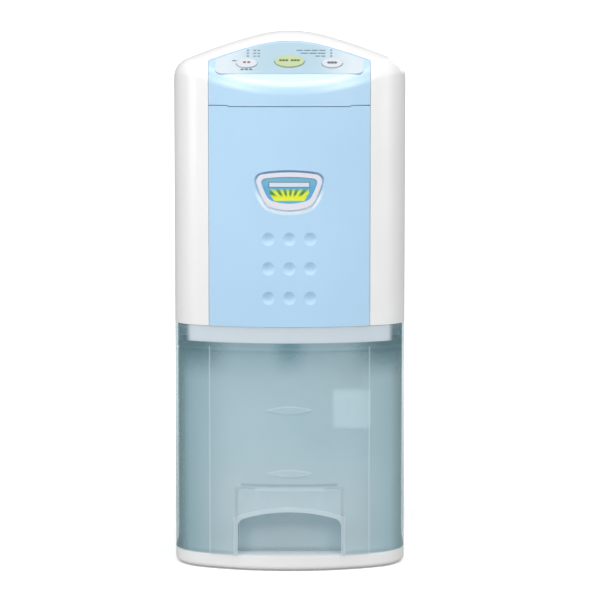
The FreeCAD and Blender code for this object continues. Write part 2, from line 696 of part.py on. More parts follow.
def make_front_panel():
    """The removable coloured panel with its dimples, the badge's recess and its side flanges."""
    strip = wide_box("panel_strip", "strip_half", ("-depth", "-60"), ("tank_top + joint_gap", "seam"))
    sheet = common("panel_sheet", cut("panel_shell", skin, core), strip)
    z = ("tank_top + 12", "seam - 8")
    web = front_band("panel_web", "-panel_wall", "5.5", ("-strip_half + 0.2", "strip_half - 0.2"), z)
    wing = front_band("panel_wing", "-(proud + wall + 0.2)", "5.5",
                      ("-strip_half - 5", "strip_half + 5"), z)
    pad = front_band("dimple_pad", "-proud", "panel_wall + 1.6",
                     ("-dimple_pitch_x - 8", "dimple_pitch_x + 8"),
                     ("dimple_z - 8", "dimple_z + 2*dimple_pitch_z + 8"))
    x_lip = ("-strip_half + 4", "strip_half - 4")
    lip_foot = front_band("panel_lip_foot", "-panel_wall + 0.2", "5", x_lip, ("seam - 6", "seam - 2"))
    lip = front_band("panel_lip", "-panel_wall - 0.15", "5", x_lip, ("seam - 6", "seam + 3"))
    middle = wide_box("panel_middle", "strip_half - 9", ("-depth", "0"), ("0", "height"))
    flanges = cut("panel_flanges", fuse("panel_wings", web, wing), middle)
    ball = "(dimple_radius*dimple_radius + dimple_depth*dimple_depth)/(2*dimple_depth)"
    dimples = []
    for column in (-1, 0, 1):
        for row in range(3):
            dimple = new("Part::Sphere", f"dimple_{column + 1}_{row}")
            bind(dimple, "Radius", ball)
            x = f"{column}*dimple_pitch_x"
            face = f"front_radius - depth/2 - sqrt(front_radius*front_radius - ({x})*({x}))"
            dimples.append(at(dimple, x, f"{face} - {ball} + dimple_depth",
                              f"dimple_z + {row}*dimple_pitch_z"))
    recess = common("badge_recess", shield("recess_outline", "-1.3", "-2.6", "7", "13"),
                    front_band("recess_layer", "3", "badge_sink", ("-badge_side", "badge_side"),
                               ("badge_low - 9", "badge_top + 9")))
    sharp = cut("panel_sharp", fuse("panel_blank", sheet, flanges, pad),
                seam_step("panel_notch", "seam - seam_tab", "seam + 5"), recess, *dimples)
    eased = fillet("panel_eased", sharp, "1", is_badge_rim)
    soft = fillet("panel_soft", eased, "1.2", is_dimple_rim)
    part("front_panel", fuse("front_panel", soft, lip_foot, lip))


KEYS = {
    "left_key": ("-side_key_x", "13.2", "side_key_width", "side_key_length"),
    "power_key": ("0", "15.8", "key_width", "key_length"),
    "right_key": ("side_key_x", "13.2", "side_key_width", "side_key_length"),
}
LAMPS = [(f"{side}*lamp_x", str(up)) for side in (-1, 1) for up in (23.2, 27.0, 30.8)]


def key_holes(name, out):
    holes = [slope_oval(f"{name}_{key}", f"{across} + 0.6", f"{length} + 0.6", x, up, out)
             for key, (x, up, across, length) in KEYS.items()]
    return holes + [slope_rod(f"{name}_lamp_{i}", "lamp_radius", x, up, out)
                    for i, (x, up) in enumerate(LAMPS)]


def make_control_housing():
    """The coloured head that carries the keys, and the printed film on its slope."""
    outline = arch_prism("head_outline", "0", "strip_half", "seam + seam_gap - seam_tab",
                         ("-200", "-40"), "strip_drop")
    shell = common("head_strip", cut("head_shell", skin, core), outline)
    shoulder = wide_box("head_shoulder", "strip_half + 1", ("-depth", "0"), ("seam - 5", "seam + seam_gap"))
    tongue = seam_step("head_tongue", "seam - 6", "seam + 2")
    sides = cut("head_sides", shoulder, tongue)
    part("control_housing", cut("control_housing", shell, sides, *key_holes("head_hole", ("-6", "3"))))
    square = slope_box("film_square", ("-film_half", "film_half"), ("0.4", "60"), ("0", "film_thick"))
    slope = math.radians(number("panel_slope"))
    out, foot = Vector(0, -math.sin(slope), math.cos(slope)), number("panel_foot_z + 3")
    sheet = fillet("film_sheet", square, "6.5", lambda e: along(out)(e) and e.BoundBox.ZMax < foot)
    outline = arch_prism("film_outline", "0", "film_half", "400", ("-200", "-40"), "film_drop")
    film = common("film_blank", sheet, outline)
    part("control_film", cut("control_film", film, *key_holes("film_hole", ("-1", "2"))))


def make_keys():
    """Three oval keys, each with a retaining flange and a stem over its switch."""
    for key, (x, up, across, length) in KEYS.items():
        cap = slope_oval(key + "_cap", across, length, x, up, ("-2.8", "key_proud"))
        flange = slope_oval(key + "_flange", f"{across} + 2.4", f"{length} + 2.4", x, up,
                            ("-4.2", "-2.8"))
        stem = slope_rod(key + "_stem", "2", x, up, ("-6.4", "-4.2"))
        part(key, fuse(key, cap, flange, stem))
    lamps = [slope_rod(f"lamp_{i}", "lamp_radius", x, up, ("-board_drop", "film_thick + 0.3"))
             for i, (x, up) in enumerate(LAMPS)]
    part("indicator_lamps", group("indicator_lamps", *lamps))


def make_control_board():
    board = slope_box("board_sheet", ("-56", "56"), ("3", "33"),
                      ("-board_drop - board_thick", "-board_drop"))
    switches = [slope_box(f"switch_{key}", (f"{x} - 3", f"{x} + 3"), (f"{up} - 3", f"{up} + 3"),
                          ("-board_drop", "-6.4 - key_travel - 0.1"))
                for key, (x, up, _, _) in KEYS.items()]
    chip = slope_box("board_chip", ("14", "24"), ("10", "20"), ("-board_drop", "-board_drop + 2"))
    part("control_board", fuse("control_board", board, chip, *switches))


def shield(name, inset, chin, round_top, round_low):
    """The badge's outline moved inwards by inset, and by chin at the foot, as a block along Y."""
    start, reach = "-depth/2 - 40", "80"
    crown = f"badge_crown - ({inset})"
    side = f"badge_side - ({inset})"
    discs = [rod(name + "_crown", "y", crown, reach, "0", start, "badge_top - badge_crown"),
             rod(name + "_foot", "y", "badge_foot", reach, "0", start,
                 f"badge_low + ({chin}) + badge_foot")]
    for word, x in (("left", "badge_side_x"), ("right", "-badge_side_x")):
        discs.append(rod(f"{name}_{word}", "y", side, reach, x, start, "badge_top + badge_side_z"))
    block = common(name + "_block", *discs)
    doc.recompute()
    level = number("(badge_top + badge_low)/2")
    upper = fillet(name + "_upper", block, round_top,
                   lambda e: along(Y)(e) and e.BoundBox.ZMin > level)
    return fillet(name, upper, round_low, lambda e: along(Y)(e) and e.BoundBox.ZMax < level)


def make_badge():
    """A plain shield badge: a frame and the plate inside it, both bowed with the panel."""
    z = ("badge_low - 5", "badge_top + 5")
    x = ("-badge_side", "badge_side")
    inside = ("badge_rim", "badge_chin", "3.5", "8")
    ring = cut("badge_ring", shield("badge_outside", "0", "0", "6", "12"), shield("badge_inside", *inside))
    part("badge_frame", common("badge_frame", ring,
                               front_band("badge_layer", "badge_rise", "badge_sink", x, z)))
    part("badge_plate", common("badge_plate", shield("plate_outline", *inside),
                               front_band("plate_layer", "badge_plate_rise", "badge_sink", x, z)))


# ---------------------------------------------------------------- tank

def mouth(name, grow, y_depth):
    """The finger pocket's mouth in front view: an arch with round shoulders."""
    top, half = f"grip_arch_top + {grow}", f"grip_half + {grow}"
    arch = rod(name + "_arch", "y", f"grip_arch_radius + {grow}", "80", "0", "-depth/2 - 40",
               "grip_arch_top - grip_arch_radius")
    legs = wide_box(name + "_legs", half, ("-depth/2 - 20", y_depth), ("0", top))
    gate = common(name + "_gate", arch, legs)
    doc.recompute()
    return fillet(name, gate, f"8 + {grow}", lambda e: along(Y)(e) and e.BoundBox.ZMin > 20)


def make_tank():
    """The clear bucket with its finger pocket, level marks and proud centre strip."""
    z = ("base_top + 0.3", "tank_top")
    strip = front_band("tank_strip", "0", "proud + 1", ("-strip_half", "strip_half"), z)
    walls = fuse("tank_outside", plan_prism("tank_block", "0", *z), strip)
    room = plan_prism("tank_room", "tank_wall", "base_top + 0.3 + tank_wall", "tank_top + 1")
    front = wide_box("tank_front_half", "width", ("-depth", "tank_rear - tank_wall"), ("0", "height"))
    hollow = common("tank_hollow", room, front)
    behind = wide_box("tank_behind", "width", ("tank_rear", "depth"), ("0", "height"))
    low_back = wide_box("tank_low_back", "width/2 - tank_wall",
                        ("tank_rear - tank_wall - 1", "tank_rear + 1"), ("tank_back_top", "height"))
    bucket = cut("tank_bucket", walls, hollow, behind, low_back)
    y_back = "-depth/2 + grip_depth"
    pocket = wide_box("pocket_block", "grip_half + tank_wall", ("-depth/2 + 6", f"{y_back} + tank_wall"),
                      ("base_top + 0.3", "grip_top + tank_wall"))
    pocket_in = common("pocket_block_in", pocket, plan_prism("pocket_limit", "proud", *z))
    cavity_box = wide_box("cavity_box", "grip_half", ("-depth", y_back), ("0", "grip_top"))
    cavity = common("cavity", cavity_box,
                    plan_prism("cavity_limit", "tank_wall + 0.6", "0", "grip_top + 9"))
    ledge_out = plan_prism("ledge_outline", "tank_wall - 0.5", "lid_low - 3", "lid_low")
    ledge_in = plan_prism("ledge_hollow", "tank_wall + 2.5", "lid_low - 4", "lid_low + 1")
    ledge = cut("ledge", common("ledge_block", ledge_out, front), ledge_in)
    rim_layer = front_band("rim_layer", "1.1", "proud", ("-60", "60"), ("base_top + 0.3", "70"))
    rim_blank = common("rim_blank", rim_layer, mouth("rim_outline", "grip_rim", "-60"))
    marks = []
    for level in ("mark_low", "mark_high"):
        radius = "(mark_half*mark_half + mark_sag*mark_sag)/(2*mark_sag)"
        discs = [rod(f"{level}_disc_{side + 1}", "y", radius, "80", "0", "-depth/2 - 40",
                     f"{level} + {side}*({radius} - mark_sag)") for side in (-1, 1)]
        layer = front_band(f"{level}_layer", "0.8", "proud", ("-30", "30"),
                           (f"{level} - 6", f"{level} + 6"))
        marks.append(common(f"{level}_lens", *discs, layer))
    solid = fuse("tank_solid", bucket, pocket_in, ledge, rim_blank, *marks)
    part("tank", cut("tank", solid, cavity, mouth("mouth", "0", y_back)))


def make_tank_lid():
    """The tank's lid, with a lipped hatch under the drip spout."""
    plate = common("lid_plate", plan_prism("lid_outline", "tank_wall + 0.3", "lid_low", "lid_low + 2.5"),
                   wide_box("lid_room", "width", ("-depth", "tank_rear - tank_wall - 0.3"),
                            ("0", "height")))
    hatch = wide_box("lid_hatch", "hatch_half", ("spout_y - 20", "spout_y + 18"),
                     ("lid_low - 9", "lid_low + 5"))
    lip = wide_box("lid_lip", "hatch_half + 2", ("spout_y - 22", "spout_y + 20"),
                   ("lid_low - 4", "lid_low + 1"))
    part("tank_lid", cut("tank_lid", fuse("lid_blank", plate, lip), hatch))


def make_float():
    """The float hangs on an arm from a bracket on the tank's rear wall."""
    y, z = "float_pivot_y", "float_pivot_z"
    ears = []
    for word, near, far in (("left", "-11.5", "-9"), ("right", "9", "11.5")):
        x = (f"float_x + {near}", f"float_x + {far}")
        ears.append(box(f"ear_{word}", x, (y, "tank_rear - tank_wall"), (f"{z} - 4", f"{z} + 4")))
        ears.append(rod(f"ear_eye_{word}", "x", "4", "2.5", x[0], y, z))
    back = box("ear_back", ("float_x - 11.5", "float_x + 11.5"),
               ("tank_rear - tank_wall - 1.5", "tank_rear - tank_wall"), (f"{z} - 9", f"{z} + 9"))
    pin_hole = rod("ear_bore", "x", "1.5", "40", "float_x - 20", y, z)
    part("float_bracket", cut("float_bracket", fuse("ear_blank", back, *ears), pin_hole))
    part("float_pin", rod("float_pin", "x", "1.5", "24", "float_x - 12", y, z))
    block = box("float_block", ("float_x - float_half", "float_x + float_half"),
                ("float_front", "float_front + float_thick"), ("float_low", "float_high"))
    doc.recompute()
    soft = fillet("float_soft", block, "6", lambda e: True)
    arm = box("float_arm", ("float_x - 8", "float_x + 8"), ("float_front + 6", y), (f"{z} - 3", f"{z} + 1"))
    neck = box("float_neck", ("float_x - 8", "float_x + 8"), ("float_front + 6", "float_front + 18"),
               ("float_high - 2", f"{z} - 3"))
    boss = rod("float_boss", "x", "4", "16", "float_x - 8", y, z)
    bore = rod("float_bore", "x", "1.5 + running", "40", "float_x - 20", y, z)
    part("tank_float", cut("tank_float", fuse("float_blank", soft, arm, neck, boss), bore))
    part("float_magnet", rod("float_magnet", "z", "3", "3", "float_x", "float_pivot_y - 10", f"{z} + 1"))


# ---------------------------------------------------------------- deck and drain

def make_deck():
    """The deck over the tank: plate, flange into the casing, and a skirt behind the tank's front."""
    front = wide_box("deck_room", "width", ("-depth", "parting - 2.5"), ("0", "height"))
    plate = plan_prism("deck_plate", "tank_wall + 0.8", "deck_low", "deck_low + deck_thick")
    low_ring = plan_prism("deck_low_ring", "tank_wall + 0.8", "deck_low", "tank_top + 0.4")
    high_ring = plan_prism("deck_high_ring", "wall + 0.1", "tank_top + 0.4", "tank_top + 9")
    well = plan_prism("deck_well", "tank_wall + 3.4", "deck_low + deck_thick", "tank_top + 20")
    inside = cut("deck_rim", fuse("deck_rings", low_ring, high_ring), well)
    skirt = cut("skirt_ring", plan_prism("skirt_out", "tank_wall + 0.9", "skirt_low", "deck_low"),
                plan_prism("skirt_in", "tank_wall + 2.9", "skirt_low - 1", "deck_low + 1"))
    gate_box = wide_box("skirt_gate", "skirt_half", ("-depth", "-60"), ("skirt_low", "deck_low + 20"))
    doc.recompute()
    gate = fillet("skirt_rounded", gate_box, "6",
                  lambda e: along(Y)(e) and e.BoundBox.ZMax < number("skirt_low") + 0.1)
    slit = wide_box("skirt_slit", "0.4", ("-depth", "-60"), ("skirt_low - 1", "deck_low"))
    curtain = cut("skirt", common("skirt_gated", skirt, gate), slit)
    drip_hole = rod("drip_hole", "z", "7.2", "20", "0", "spout_y", "deck_low - 5")
    panel_room = front_band("deck_panel_room", "5", "5.6", ("-strip_half - 6", "strip_half + 6"),
                            ("tank_top + 0.2", "tank_top + 30"))
    top = common("deck_front", fuse("deck_all", plate, inside), front)
    part("deck", cut("deck", fuse("deck_blank", top, curtain), drip_hole, panel_room))


def make_drain_pan():
    """The condensate pan under the coils, with a channel to the drip spout over the tank."""
    floor = "tank_top + 3"
    pan_out = wide_box("pan_out", "coil_half + 9", ("condenser_y - 5", "evaporator_y + coil_thick + 3"),
                       (floor, f"{floor} + 16"))
    pan_in = wide_box("pan_in", "coil_half + 7", ("condenser_y - 3", "evaporator_y + coil_thick + 1"),
                      (f"{floor} + 2", f"{floor} + 20"))
    channel_out = wide_box("channel_out", "12", ("spout_y - 12", "condenser_y - 2"),
                           (floor, f"{floor} + 10"))
    channel_in = wide_box("channel_in", "10", ("spout_y - 10", "condenser_y"),
                          (f"{floor} + 2", f"{floor} + 12"))
    spout = rod("spout", "z", "7", "20", "0", "spout_y", f"{floor} - 18.5")
    bore = rod("spout_bore", "z", "5", "30", "0", "spout_y", f"{floor} - 20")
    blank = fuse("pan_blank", pan_out, channel_out, spout)
    part("drain_pan", cut("drain_pan", blank, pan_in, channel_in, bore))


# ---------------------------------------------------------------- air outlet and handle

def arch_band(name, drop_top, drop_low, half, y):
    """A layer of the arched top between two depths below it."""
    longer = (f"{y[0]} - 1", f"{y[1]} + 1")
    return cut(name, arch_prism(name + "_top", "0", half, "400", y, drop_top),
               arch_prism(name + "_low", "0", f"{half} + 5", "390", longer, drop_low))


def make_outlet():
    """The grille in the outlet, and the louvre flap that closes it flush with the top."""
    z = ("grille_top - 5", "grille_top")
    y = ("outlet_front + 0.2", "outlet_back - 0.2")
    frame = cut("grille_frame", wide_box("grille_block", "outlet_half - 0.2", y, z),
                wide_box("grille_window", "outlet_half - 4", ("outlet_front + 4", "outlet_back - 4"),
                         ("grille_top - 6", "grille_top + 1")))
    bars = [box(f"grille_bar_{i}", (f"{i}*9.4 - 0.9", f"{i}*9.4 + 0.9"),
                ("outlet_front + 3", "outlet_back - 3"), z) for i in range(-5, 6)]
    cross = wide_box("grille_cross", "outlet_half - 3", ("outlet_front + 26", "outlet_front + 28"), z)
    part("outlet_grille", fuse("outlet_grille", frame, cross, *bars))
    plate = arch_band("flap_plate", "0", "flap_thick", "outlet_half - 1",
                      ("outlet_front + 1.6", "outlet_back - 0.8"))
    eye = rod("flap_eye", "x", "2.9", "15", "-7.5", "flap_pivot_y", "flap_pivot_z")
    lug_rooms = [box(f"lug_room_{i}", ends, ("outlet_front", "flap_pivot_y + 4.2"),
                     ("height - 13", "height + 5"))
                 for i, ends in enumerate((("-13.2", "-7.5"), ("7.5", "13.2")))]
    bore = rod("flap_bore", "x", "1.4 + running", "60", "-30", "flap_pivot_y", "flap_pivot_z")
    grip = wide_box("flap_grip", "14", ("outlet_back - 6", "outlet_back"), ("height - 1", "height + 5"))
    part("louvre_flap", cut("louvre_flap", fuse("flap_blank", plate, eye), bore, grip, *lug_rooms))
    part("louvre_pin", rod("louvre_pin", "x", "1.4", "25", "-12.5", "flap_pivot_y", "flap_pivot_z"))


def make_handle():
    """The folding handle, flush in its groove at rest, on two pins."""
    here = ("handle_pivot_y", "handle_pivot_z")
    band = arch_band("handle_band", "0", "handle_thick", "handle_out + 4", ("-20", "depth/2"))
    bow = common("handle_bow", handle_plan("handle_outline", "0", "handle_pivot_y", False), band)
    eyes = pivot_rods("handle_eye", *here, "handle_boss", "handle_in", "handle_out")
    bosses = common("handle_bosses", fuse("handle_eyes", *eyes), outer)
    bores = pivot_rods("handle_bore", *here, "handle_pin + running", "handle_in - 3", "handle_out + 3")
    part("carry_handle", cut("carry_handle", fuse("handle_blank", bow, bosses), *bores))
    pins = pivot_rods("handle_rod", *here, "handle_pin", "handle_in - 4", "handle_out + 2.5")
    part("handle_pins", group("handle_pins", *pins))


# ---------------------------------------------------------------- rear air intake

def make_intake():
    """The rear grille and the dust filter behind it, which pull off to the rear together."""
    half, low, high = "grille_half - 0.6", "grille_low + 0.6", "grille_high - 0.6"
    face = wide_box("intake_face", half, ("depth/2 - 3", "depth/2 + badge_rise"), (low, high))
    pitch = "(grille_high - grille_low - 20)/18"
    slots = []
    for i in range(18):
        for word, x in (("left", ("-grille_half + 7", "-3")), ("right", ("3", "grille_half - 7"))):
            z_low = f"grille_low + 10 + {i}*{pitch} + 2"
            slots.append(box(f"intake_slot_{word}_{i}", x, ("depth/2 - 5", "depth/2 + 3"),
                             (z_low, f"{z_low} + {pitch} - 4")))
    part("intake_grille", cut("intake_grille", face, *slots))
    y = ("depth/2 - 8.5", "depth/2 - 3.2")
    block = wide_box("filter_block", "grille_half - 1.5", y, ("grille_low + 1.5", "grille_high - 1.5"))
    window = wide_box("filter_window", "grille_half - 6", ("depth/2 - 9", "depth/2"),
                      ("grille_low + 6", "grille_high - 6"))
    frame = cut("filter_frame", block, window)
    net = wide_box("filter_net", "grille_half - 5", ("depth/2 - 6.5", "depth/2 - 5.7"),
                   ("grille_low + 5", "grille_high - 5"))
    part("dust_filter", fuse("dust_filter", frame, net))


# ---------------------------------------------------------------- cooling circuit

ROWS = 6
FINS = 33


def row_height(i):
    return f"coil_low + 14 + {i}*(coil_high - coil_low - 28)/{ROWS - 1}"


def make_coil(name, y_front):
    """A finned coil: thin plates on one serpentine tube."""
    y = f"{y_front} + coil_thick/2"
    pitch = f"(coil_high - coil_low - 28)/{ROWS - 1}"
    across = ("tube_radius", "2*coil_half + 4", "-coil_half - 2", y)
    runs = [rod(f"{name}_run_{i}", "x", *across, row_height(i)) for i in range(ROWS)]
    bends = []
    for i in range(ROWS - 1):
        side = 1 if i % 2 == 0 else -1
        bend = new("Part::Torus", f"{name}_bend_{i}")
        bend.Angle3 = 180
        bend.Placement = Placement(Vector(), Rotation(X, 90) * Rotation(Z, -90 * side))
        bind(bend, "Radius1", f"{pitch}/2")
        bind(bend, "Radius2", "tube_radius")
        bends.append(at(bend, f"{side}*(coil_half + 2)", y, f"{row_height(i)} + {pitch}/2"))
    part(name + "_tubes", fuse(name + "_tubes", *runs, *bends))
    plates = []
    for i in range(1, FINS + 1):
        x = f"-coil_half + {i}*2*coil_half/{FINS + 1}"
        plates.append(box(f"{name}_fin_{i}", (f"{x} - 0.25", f"{x} + 0.25"),
                          (y_front, f"{y_front} + coil_thick"), ("coil_low", "coil_high")))
    bores = [rod(f"{name}_fin_bore_{i}", "x", *across, row_height(i)) for i in range(ROWS)]
    part(name + "_fins", cut(name + "_fins", group(name + "_plates", *plates), *bores))


def pipe(name, radius, bend, points):
    """A round pipe along straight runs with an arc at each corner."""
    size = number(radius)
    route = [Vector(*(number(c) for c in point)) for point in points]
    edges, start = [], route[0]
    for before, corner, after in zip(route, route[1:], route[2:]):
        back, on = (before - corner).normalize(), (after - corner).normalize()
        half = back.getAngle(on) / 2
        reach = bend / math.tan(half)
        first, last = corner + back * reach, corner + on * reach
        centre = corner + (back + on).normalize() * (bend / math.sin(half))
        middle = centre + (corner - centre).normalize() * bend
        edges += [Part.LineSegment(start, first).toShape(), Part.Arc(first, middle, last).toShape()]
        start = last
    edges.append(Part.LineSegment(start, route[-1]).toShape())
    way = Part.Wire(edges)
    ring = Part.Wire(Part.Circle(route[0], route[1] - route[0], size).toShape())
    part(name, shaped(name, way.makePipeShell([ring], True, True)))


def is_round(edge):
    return edge.Curve.TypeId == "Part::GeomCircle"


def make_compressor():
    """The compressor on its foot plate, three grommets and bolts, with its terminal cover."""
    x, y = "compressor_x", "compressor_y"
    can = rod("can", "z", "compressor_radius", "compressor_tall", x, y, "compressor_low")
    doc.recompute()
    part("compressor", fillet("compressor_can", can, "14", is_round))
    plate = rod("plate", "z", "30", "plate_thick", x, y, "plate_low")
    arms, holes, grommets, bolts = [], [], [], []
    for turn in (30, 150, 270):
        place = (f"{x} + mount_reach*cos({turn})", f"{y} + mount_reach*sin({turn})")
        arms.append(rod(f"foot_pad_{turn}", "z", "9", "plate_thick", *place, "plate_low"))
        arm = new("Part::Box", f"arm_{turn}")
        arm.Placement = Placement(Vector(), Rotation(Z, turn))
        for prop, length in (("Length", "mount_reach"), ("Width", "14"), ("Height", "plate_thick")):
            bind(arm, prop, length)
        arms.append(at(arm, f"{x} + 7*sin({turn})", f"{y} - 7*cos({turn})", "plate_low"))
        holes.append(rod(f"pad_hole_{turn}", "z", "3", "9", *place, "plate_low - 3"))
        grommet = rod(f"grommet_{turn}", "z", "8", "plate_low - base_top", *place, "base_top")
        hole = rod(f"grommet_hole_{turn}", "z", "3", "20", *place, "base_top - 1")
        grommets.append(cut(f"grommet_cut_{turn}", grommet, hole))
        shank = rod(f"bolt_shank_{turn}", "z", "3", "compressor_low - base_top", *place, "base_top")
        head = rod(f"bolt_head_{turn}", "z", "5.5", "4", *place, "compressor_low")
        bolts.append(fuse(f"bolt_{turn}", shank, head))
    part("compressor_foot", cut("compressor_foot", fuse("foot_blank", plate, *arms), *holes))
    part("compressor_grommets", group("compressor_grommets", *grommets))
    part("compressor_bolts", group("compressor_bolts", *bolts))
    cover = box("terminal_box", (f"{x} - 17", f"{x} + 17"), (f"{y} - compressor_radius - 9", y),
                ("compressor_low + 96", "compressor_low + 130"))
    room = rod("terminal_room", "z", "compressor_radius", "60", x, y, "compressor_low + 83")
    part("terminal_cover", cut("terminal_cover", cover, room))


def make_pipes():
    """The accumulator and the pipes between it, the compressor and the two coils."""
    vessel = rod("vessel", "z", "vessel_radius", "vessel_tall", "vessel_x", "vessel_y", "vessel_low")
    doc.recompute()
    part("accumulator", fillet("accumulator_can", vessel, "8", is_round))
    hot, cold = "condenser_y + coil_thick/2", "evaporator_y + coil_thick/2"
    between = f"({hot} + {cold})/2"
    top, low = row_height(ROWS - 1), row_height(0)
    aside, beside, end = "-coil_half - 16", "-coil_half - 9", "-coil_half - 2"
    vessel_end, can_end = "vessel_low + vessel_tall", "compressor_low + compressor_tall"
    rise, climb, dip = f"{vessel_end} + 36", f"{can_end} + 22", "vessel_low - 10"
    pipe("suction_pipe", "3", 4.5, [
        ("vessel_x", "vessel_y", vessel_end), ("vessel_x", "vessel_y", rise), (aside, "vessel_y", rise),
        (aside, between, rise), (aside, between, top), (aside, cold, top), (end, cold, top)])
    pipe("discharge_pipe", "3", 4.5, [
        ("compressor_x", "compressor_y", can_end), ("compressor_x", "compressor_y", climb),
        (aside, "compressor_y", climb), (aside, "compressor_y", top), (aside, hot, top), (end, hot, top)])
    pipe("capillary_pipe", "1.2", 3, [
        (end, hot, low), (beside, hot, low), (beside, cold, low), (end, cold, low)])
    pipe("return_pipe", "3", 7, [
        ("vessel_x", "vessel_y", "vessel_low"), ("vessel_x", "vessel_y", dip),
        ("compressor_x - compressor_radius + 1", "compressor_y", dip)])


def make_cooling_circuit():
    make_coil("evaporator", "evaporator_y")
    make_coil("condenser", "condenser_y")
    make_compressor()
    make_pipes()


# ---------------------------------------------------------------- fan

BLADES = 28


def make_fan_housing():
    """The scroll round the fan, its duct up to the outlet, and its inlet ring."""
    y_front, y_back = "fan_y - 10", "condenser_y - 2"
    z_top = "grille_top - 8"
    y_lid = f"{y_back} - 2"
    drum = rod("scroll_drum", "y", "scroll_radius", f"({y_lid}) - ({y_front})", "0", y_front, "fan_z")
    duct = wide_box("scroll_duct", "outlet_half - 2", (y_front, y_lid), ("fan_z", z_top))
    drum_in = rod("drum_in", "y", "scroll_radius - 2", "60", "0", f"{y_front} + 2", "fan_z")
    duct_in = wide_box("duct_in", "outlet_half - 4", (f"{y_front} + 2", "condenser_y"),
                       ("fan_z", f"{z_top} + 5"))
    shaft_hole = rod("shaft_hole", "y", "9", "20", "0", f"{y_front} - 5", "fan_z")
    blank = fuse("scroll_blank", drum, duct)
    part("scroll_housing", cut("scroll_housing", blank, drum_in, duct_in, shaft_hole))
    cover = fuse("cover_blank", rod("cover_drum", "y", "scroll_radius", "2", "0", y_lid, "fan_z"),
                 wide_box("cover_duct", "outlet_half - 2", (y_lid, y_back), ("fan_z", z_top)))
    inlet = rod("inlet", "y", "fan_inlet", "20", "0", "fan_y + 20", "fan_z")
    part("inlet_ring", cut("inlet_ring", cover, inlet))


def make_fan():
    """A centrifugal fan with its axis front to back, its shaft and its motor."""
    blades = []
    for i in range(BLADES):
        turn = i * 360 / BLADES
        blade = new("Part::Box", f"blade_{i}")
        blade.Placement = Placement(Vector(), Rotation(Y, turn))
        sizes = (("Length", "blade_length"), ("Width", "fan_width - 3"), ("Height", "blade_thick"))
        for prop, length in sizes:
            bind(blade, prop, length)
        root = "fan_radius - blade_length - 2"
        blades.append(at(blade, f"({root})*cos({turn})", "fan_y + 1", f"fan_z - ({root})*sin({turn})"))
    disc = rod("fan_disc", "y", "fan_radius", "2", "0", "fan_y", "fan_z")
    ring_out = rod("fan_ring_out", "y", "fan_radius", "3", "0", "fan_y + fan_width - 3", "fan_z")
    ring_in = rod("fan_ring_in", "y", "fan_radius - 8", "9", "0", "fan_y + fan_width - 5", "fan_z")
    hub = rod("fan_hub", "y", "9", "16", "0", "fan_y", "fan_z")
    eye = rod("fan_eye", "y", "shaft_radius", "50", "0", "fan_y - 5", "fan_z")
    blank = fuse("fan_blank", disc, cut("fan_ring", ring_out, ring_in), hub, *blades)
    part("fan_wheel", cut("fan_wheel", blank, eye))
    part("fan_shaft", rod("fan_shaft", "y", "shaft_radius", "54", "0", "fan_y - 38", "fan_z"))
    motor_front = "fan_y - motor_length - 12"
    motor = rod("motor_can", "y", "motor_radius", "motor_length", "0", motor_front, "fan_z")
    nose = rod("motor_nose", "y", "12", "2", "0", "fan_y - 12", "fan_z")
    bore = rod("motor_bore", "y", "shaft_radius + running", "60", "0", "fan_y - 39", "fan_z")
    part("fan_motor", cut("fan_motor", fuse("motor_blank", motor, nose), bore))
    collar = rod("mount_out", "y", "motor_radius + 6", "12", "0", "fan_y - 22", "fan_z")
    hole = rod("mount_in", "y", "motor_radius", "60", "0", motor_front, "fan_z")
    part("motor_mount", cut("motor_mount", collar, hole))


# ---------------------------------------------------------------- electronics

def make_electronics():
    """The main board with its transformer, relays and heat sink in a tray, and the capacitor."""
    block = wide_box("tray_block", "tray_half", ("tray_front", "tray_back"), ("tray_low", "tray_high"))
    room = wide_box("tray_room", "tray_half - tray_wall", ("tray_front + tray_wall", "tray_back + 6"),
                    ("tray_low + tray_wall", "tray_high - tray_wall"))
    part("electronics_tray", cut("electronics_tray", block, room))
    face = "board_front + board_thick"
    board = wide_box("board", "tray_half - 6", ("board_front", face), ("tray_low + 8", "tray_high - 8"))
    posts = [rod(f"post_{x}_{word}", "y", "3", "4", str(x), "board_front - 4", z)
             for x in (-50, 50) for word, z in (("low", "tray_low + 16"), ("high", "tray_high - 16"))]
    transformer = box("transformer", ("-50", "-16"), (face, "tray_back + 2"),
                      ("tray_low + 20", "tray_low + 52"))
    relays = [box(f"relay_{i}", (f"{i}*20 - 6", f"{i}*20 + 8"), (face, "tray_back - 8"),
                  ("tray_low + 20", "tray_low + 40")) for i in range(3)]
    heat_sink = box("heat_sink", ("-46", "-12"), (face, "tray_back - 4"),
                    ("tray_high - 62", "tray_high - 22"))
    part("main_board", fuse("main_board", board, transformer, heat_sink, *posts, *relays))
    part("run_capacitor", rod("run_capacitor", "z", "15", "60", "30", f"{face} + 15.2", "tray_low + 64"))


MAKERS = (
    make_base, make_front_cabinet, make_top_cover, make_rear_cabinet, make_handle_pan, make_outlet_pocket,
    make_case_screws, make_bay_wall, make_front_panel, make_control_housing, make_keys,
    make_control_board, make_badge, make_tank, make_tank_lid, make_float, make_deck, make_drain_pan,
    make_outlet, make_handle, make_intake, make_cooling_circuit, make_fan_housing, make_fan,
    make_electronics,
)
for make in MAKERS:
    make()
doc.recompute()

failed = [thing.Name for thing in doc.Objects if {"Invalid", "Error"} & set(thing.State)]
failed += [thing.Label for thing in PARTS if thing.Shape.isNull() or not thing.Shape.isValid()]
if failed:
    raise RuntimeError("failed: " + ", ".join(failed))
os.makedirs("parts", exist_ok=True)
for thing in PARTS:
    thing.Shape.exportStep(f"parts/{thing.Label}.step")
    print(f"{thing.Label:22s} {len(thing.Shape.Solids):3d} solids {thing.Shape.Volume / 1000:9.2f} cm3")
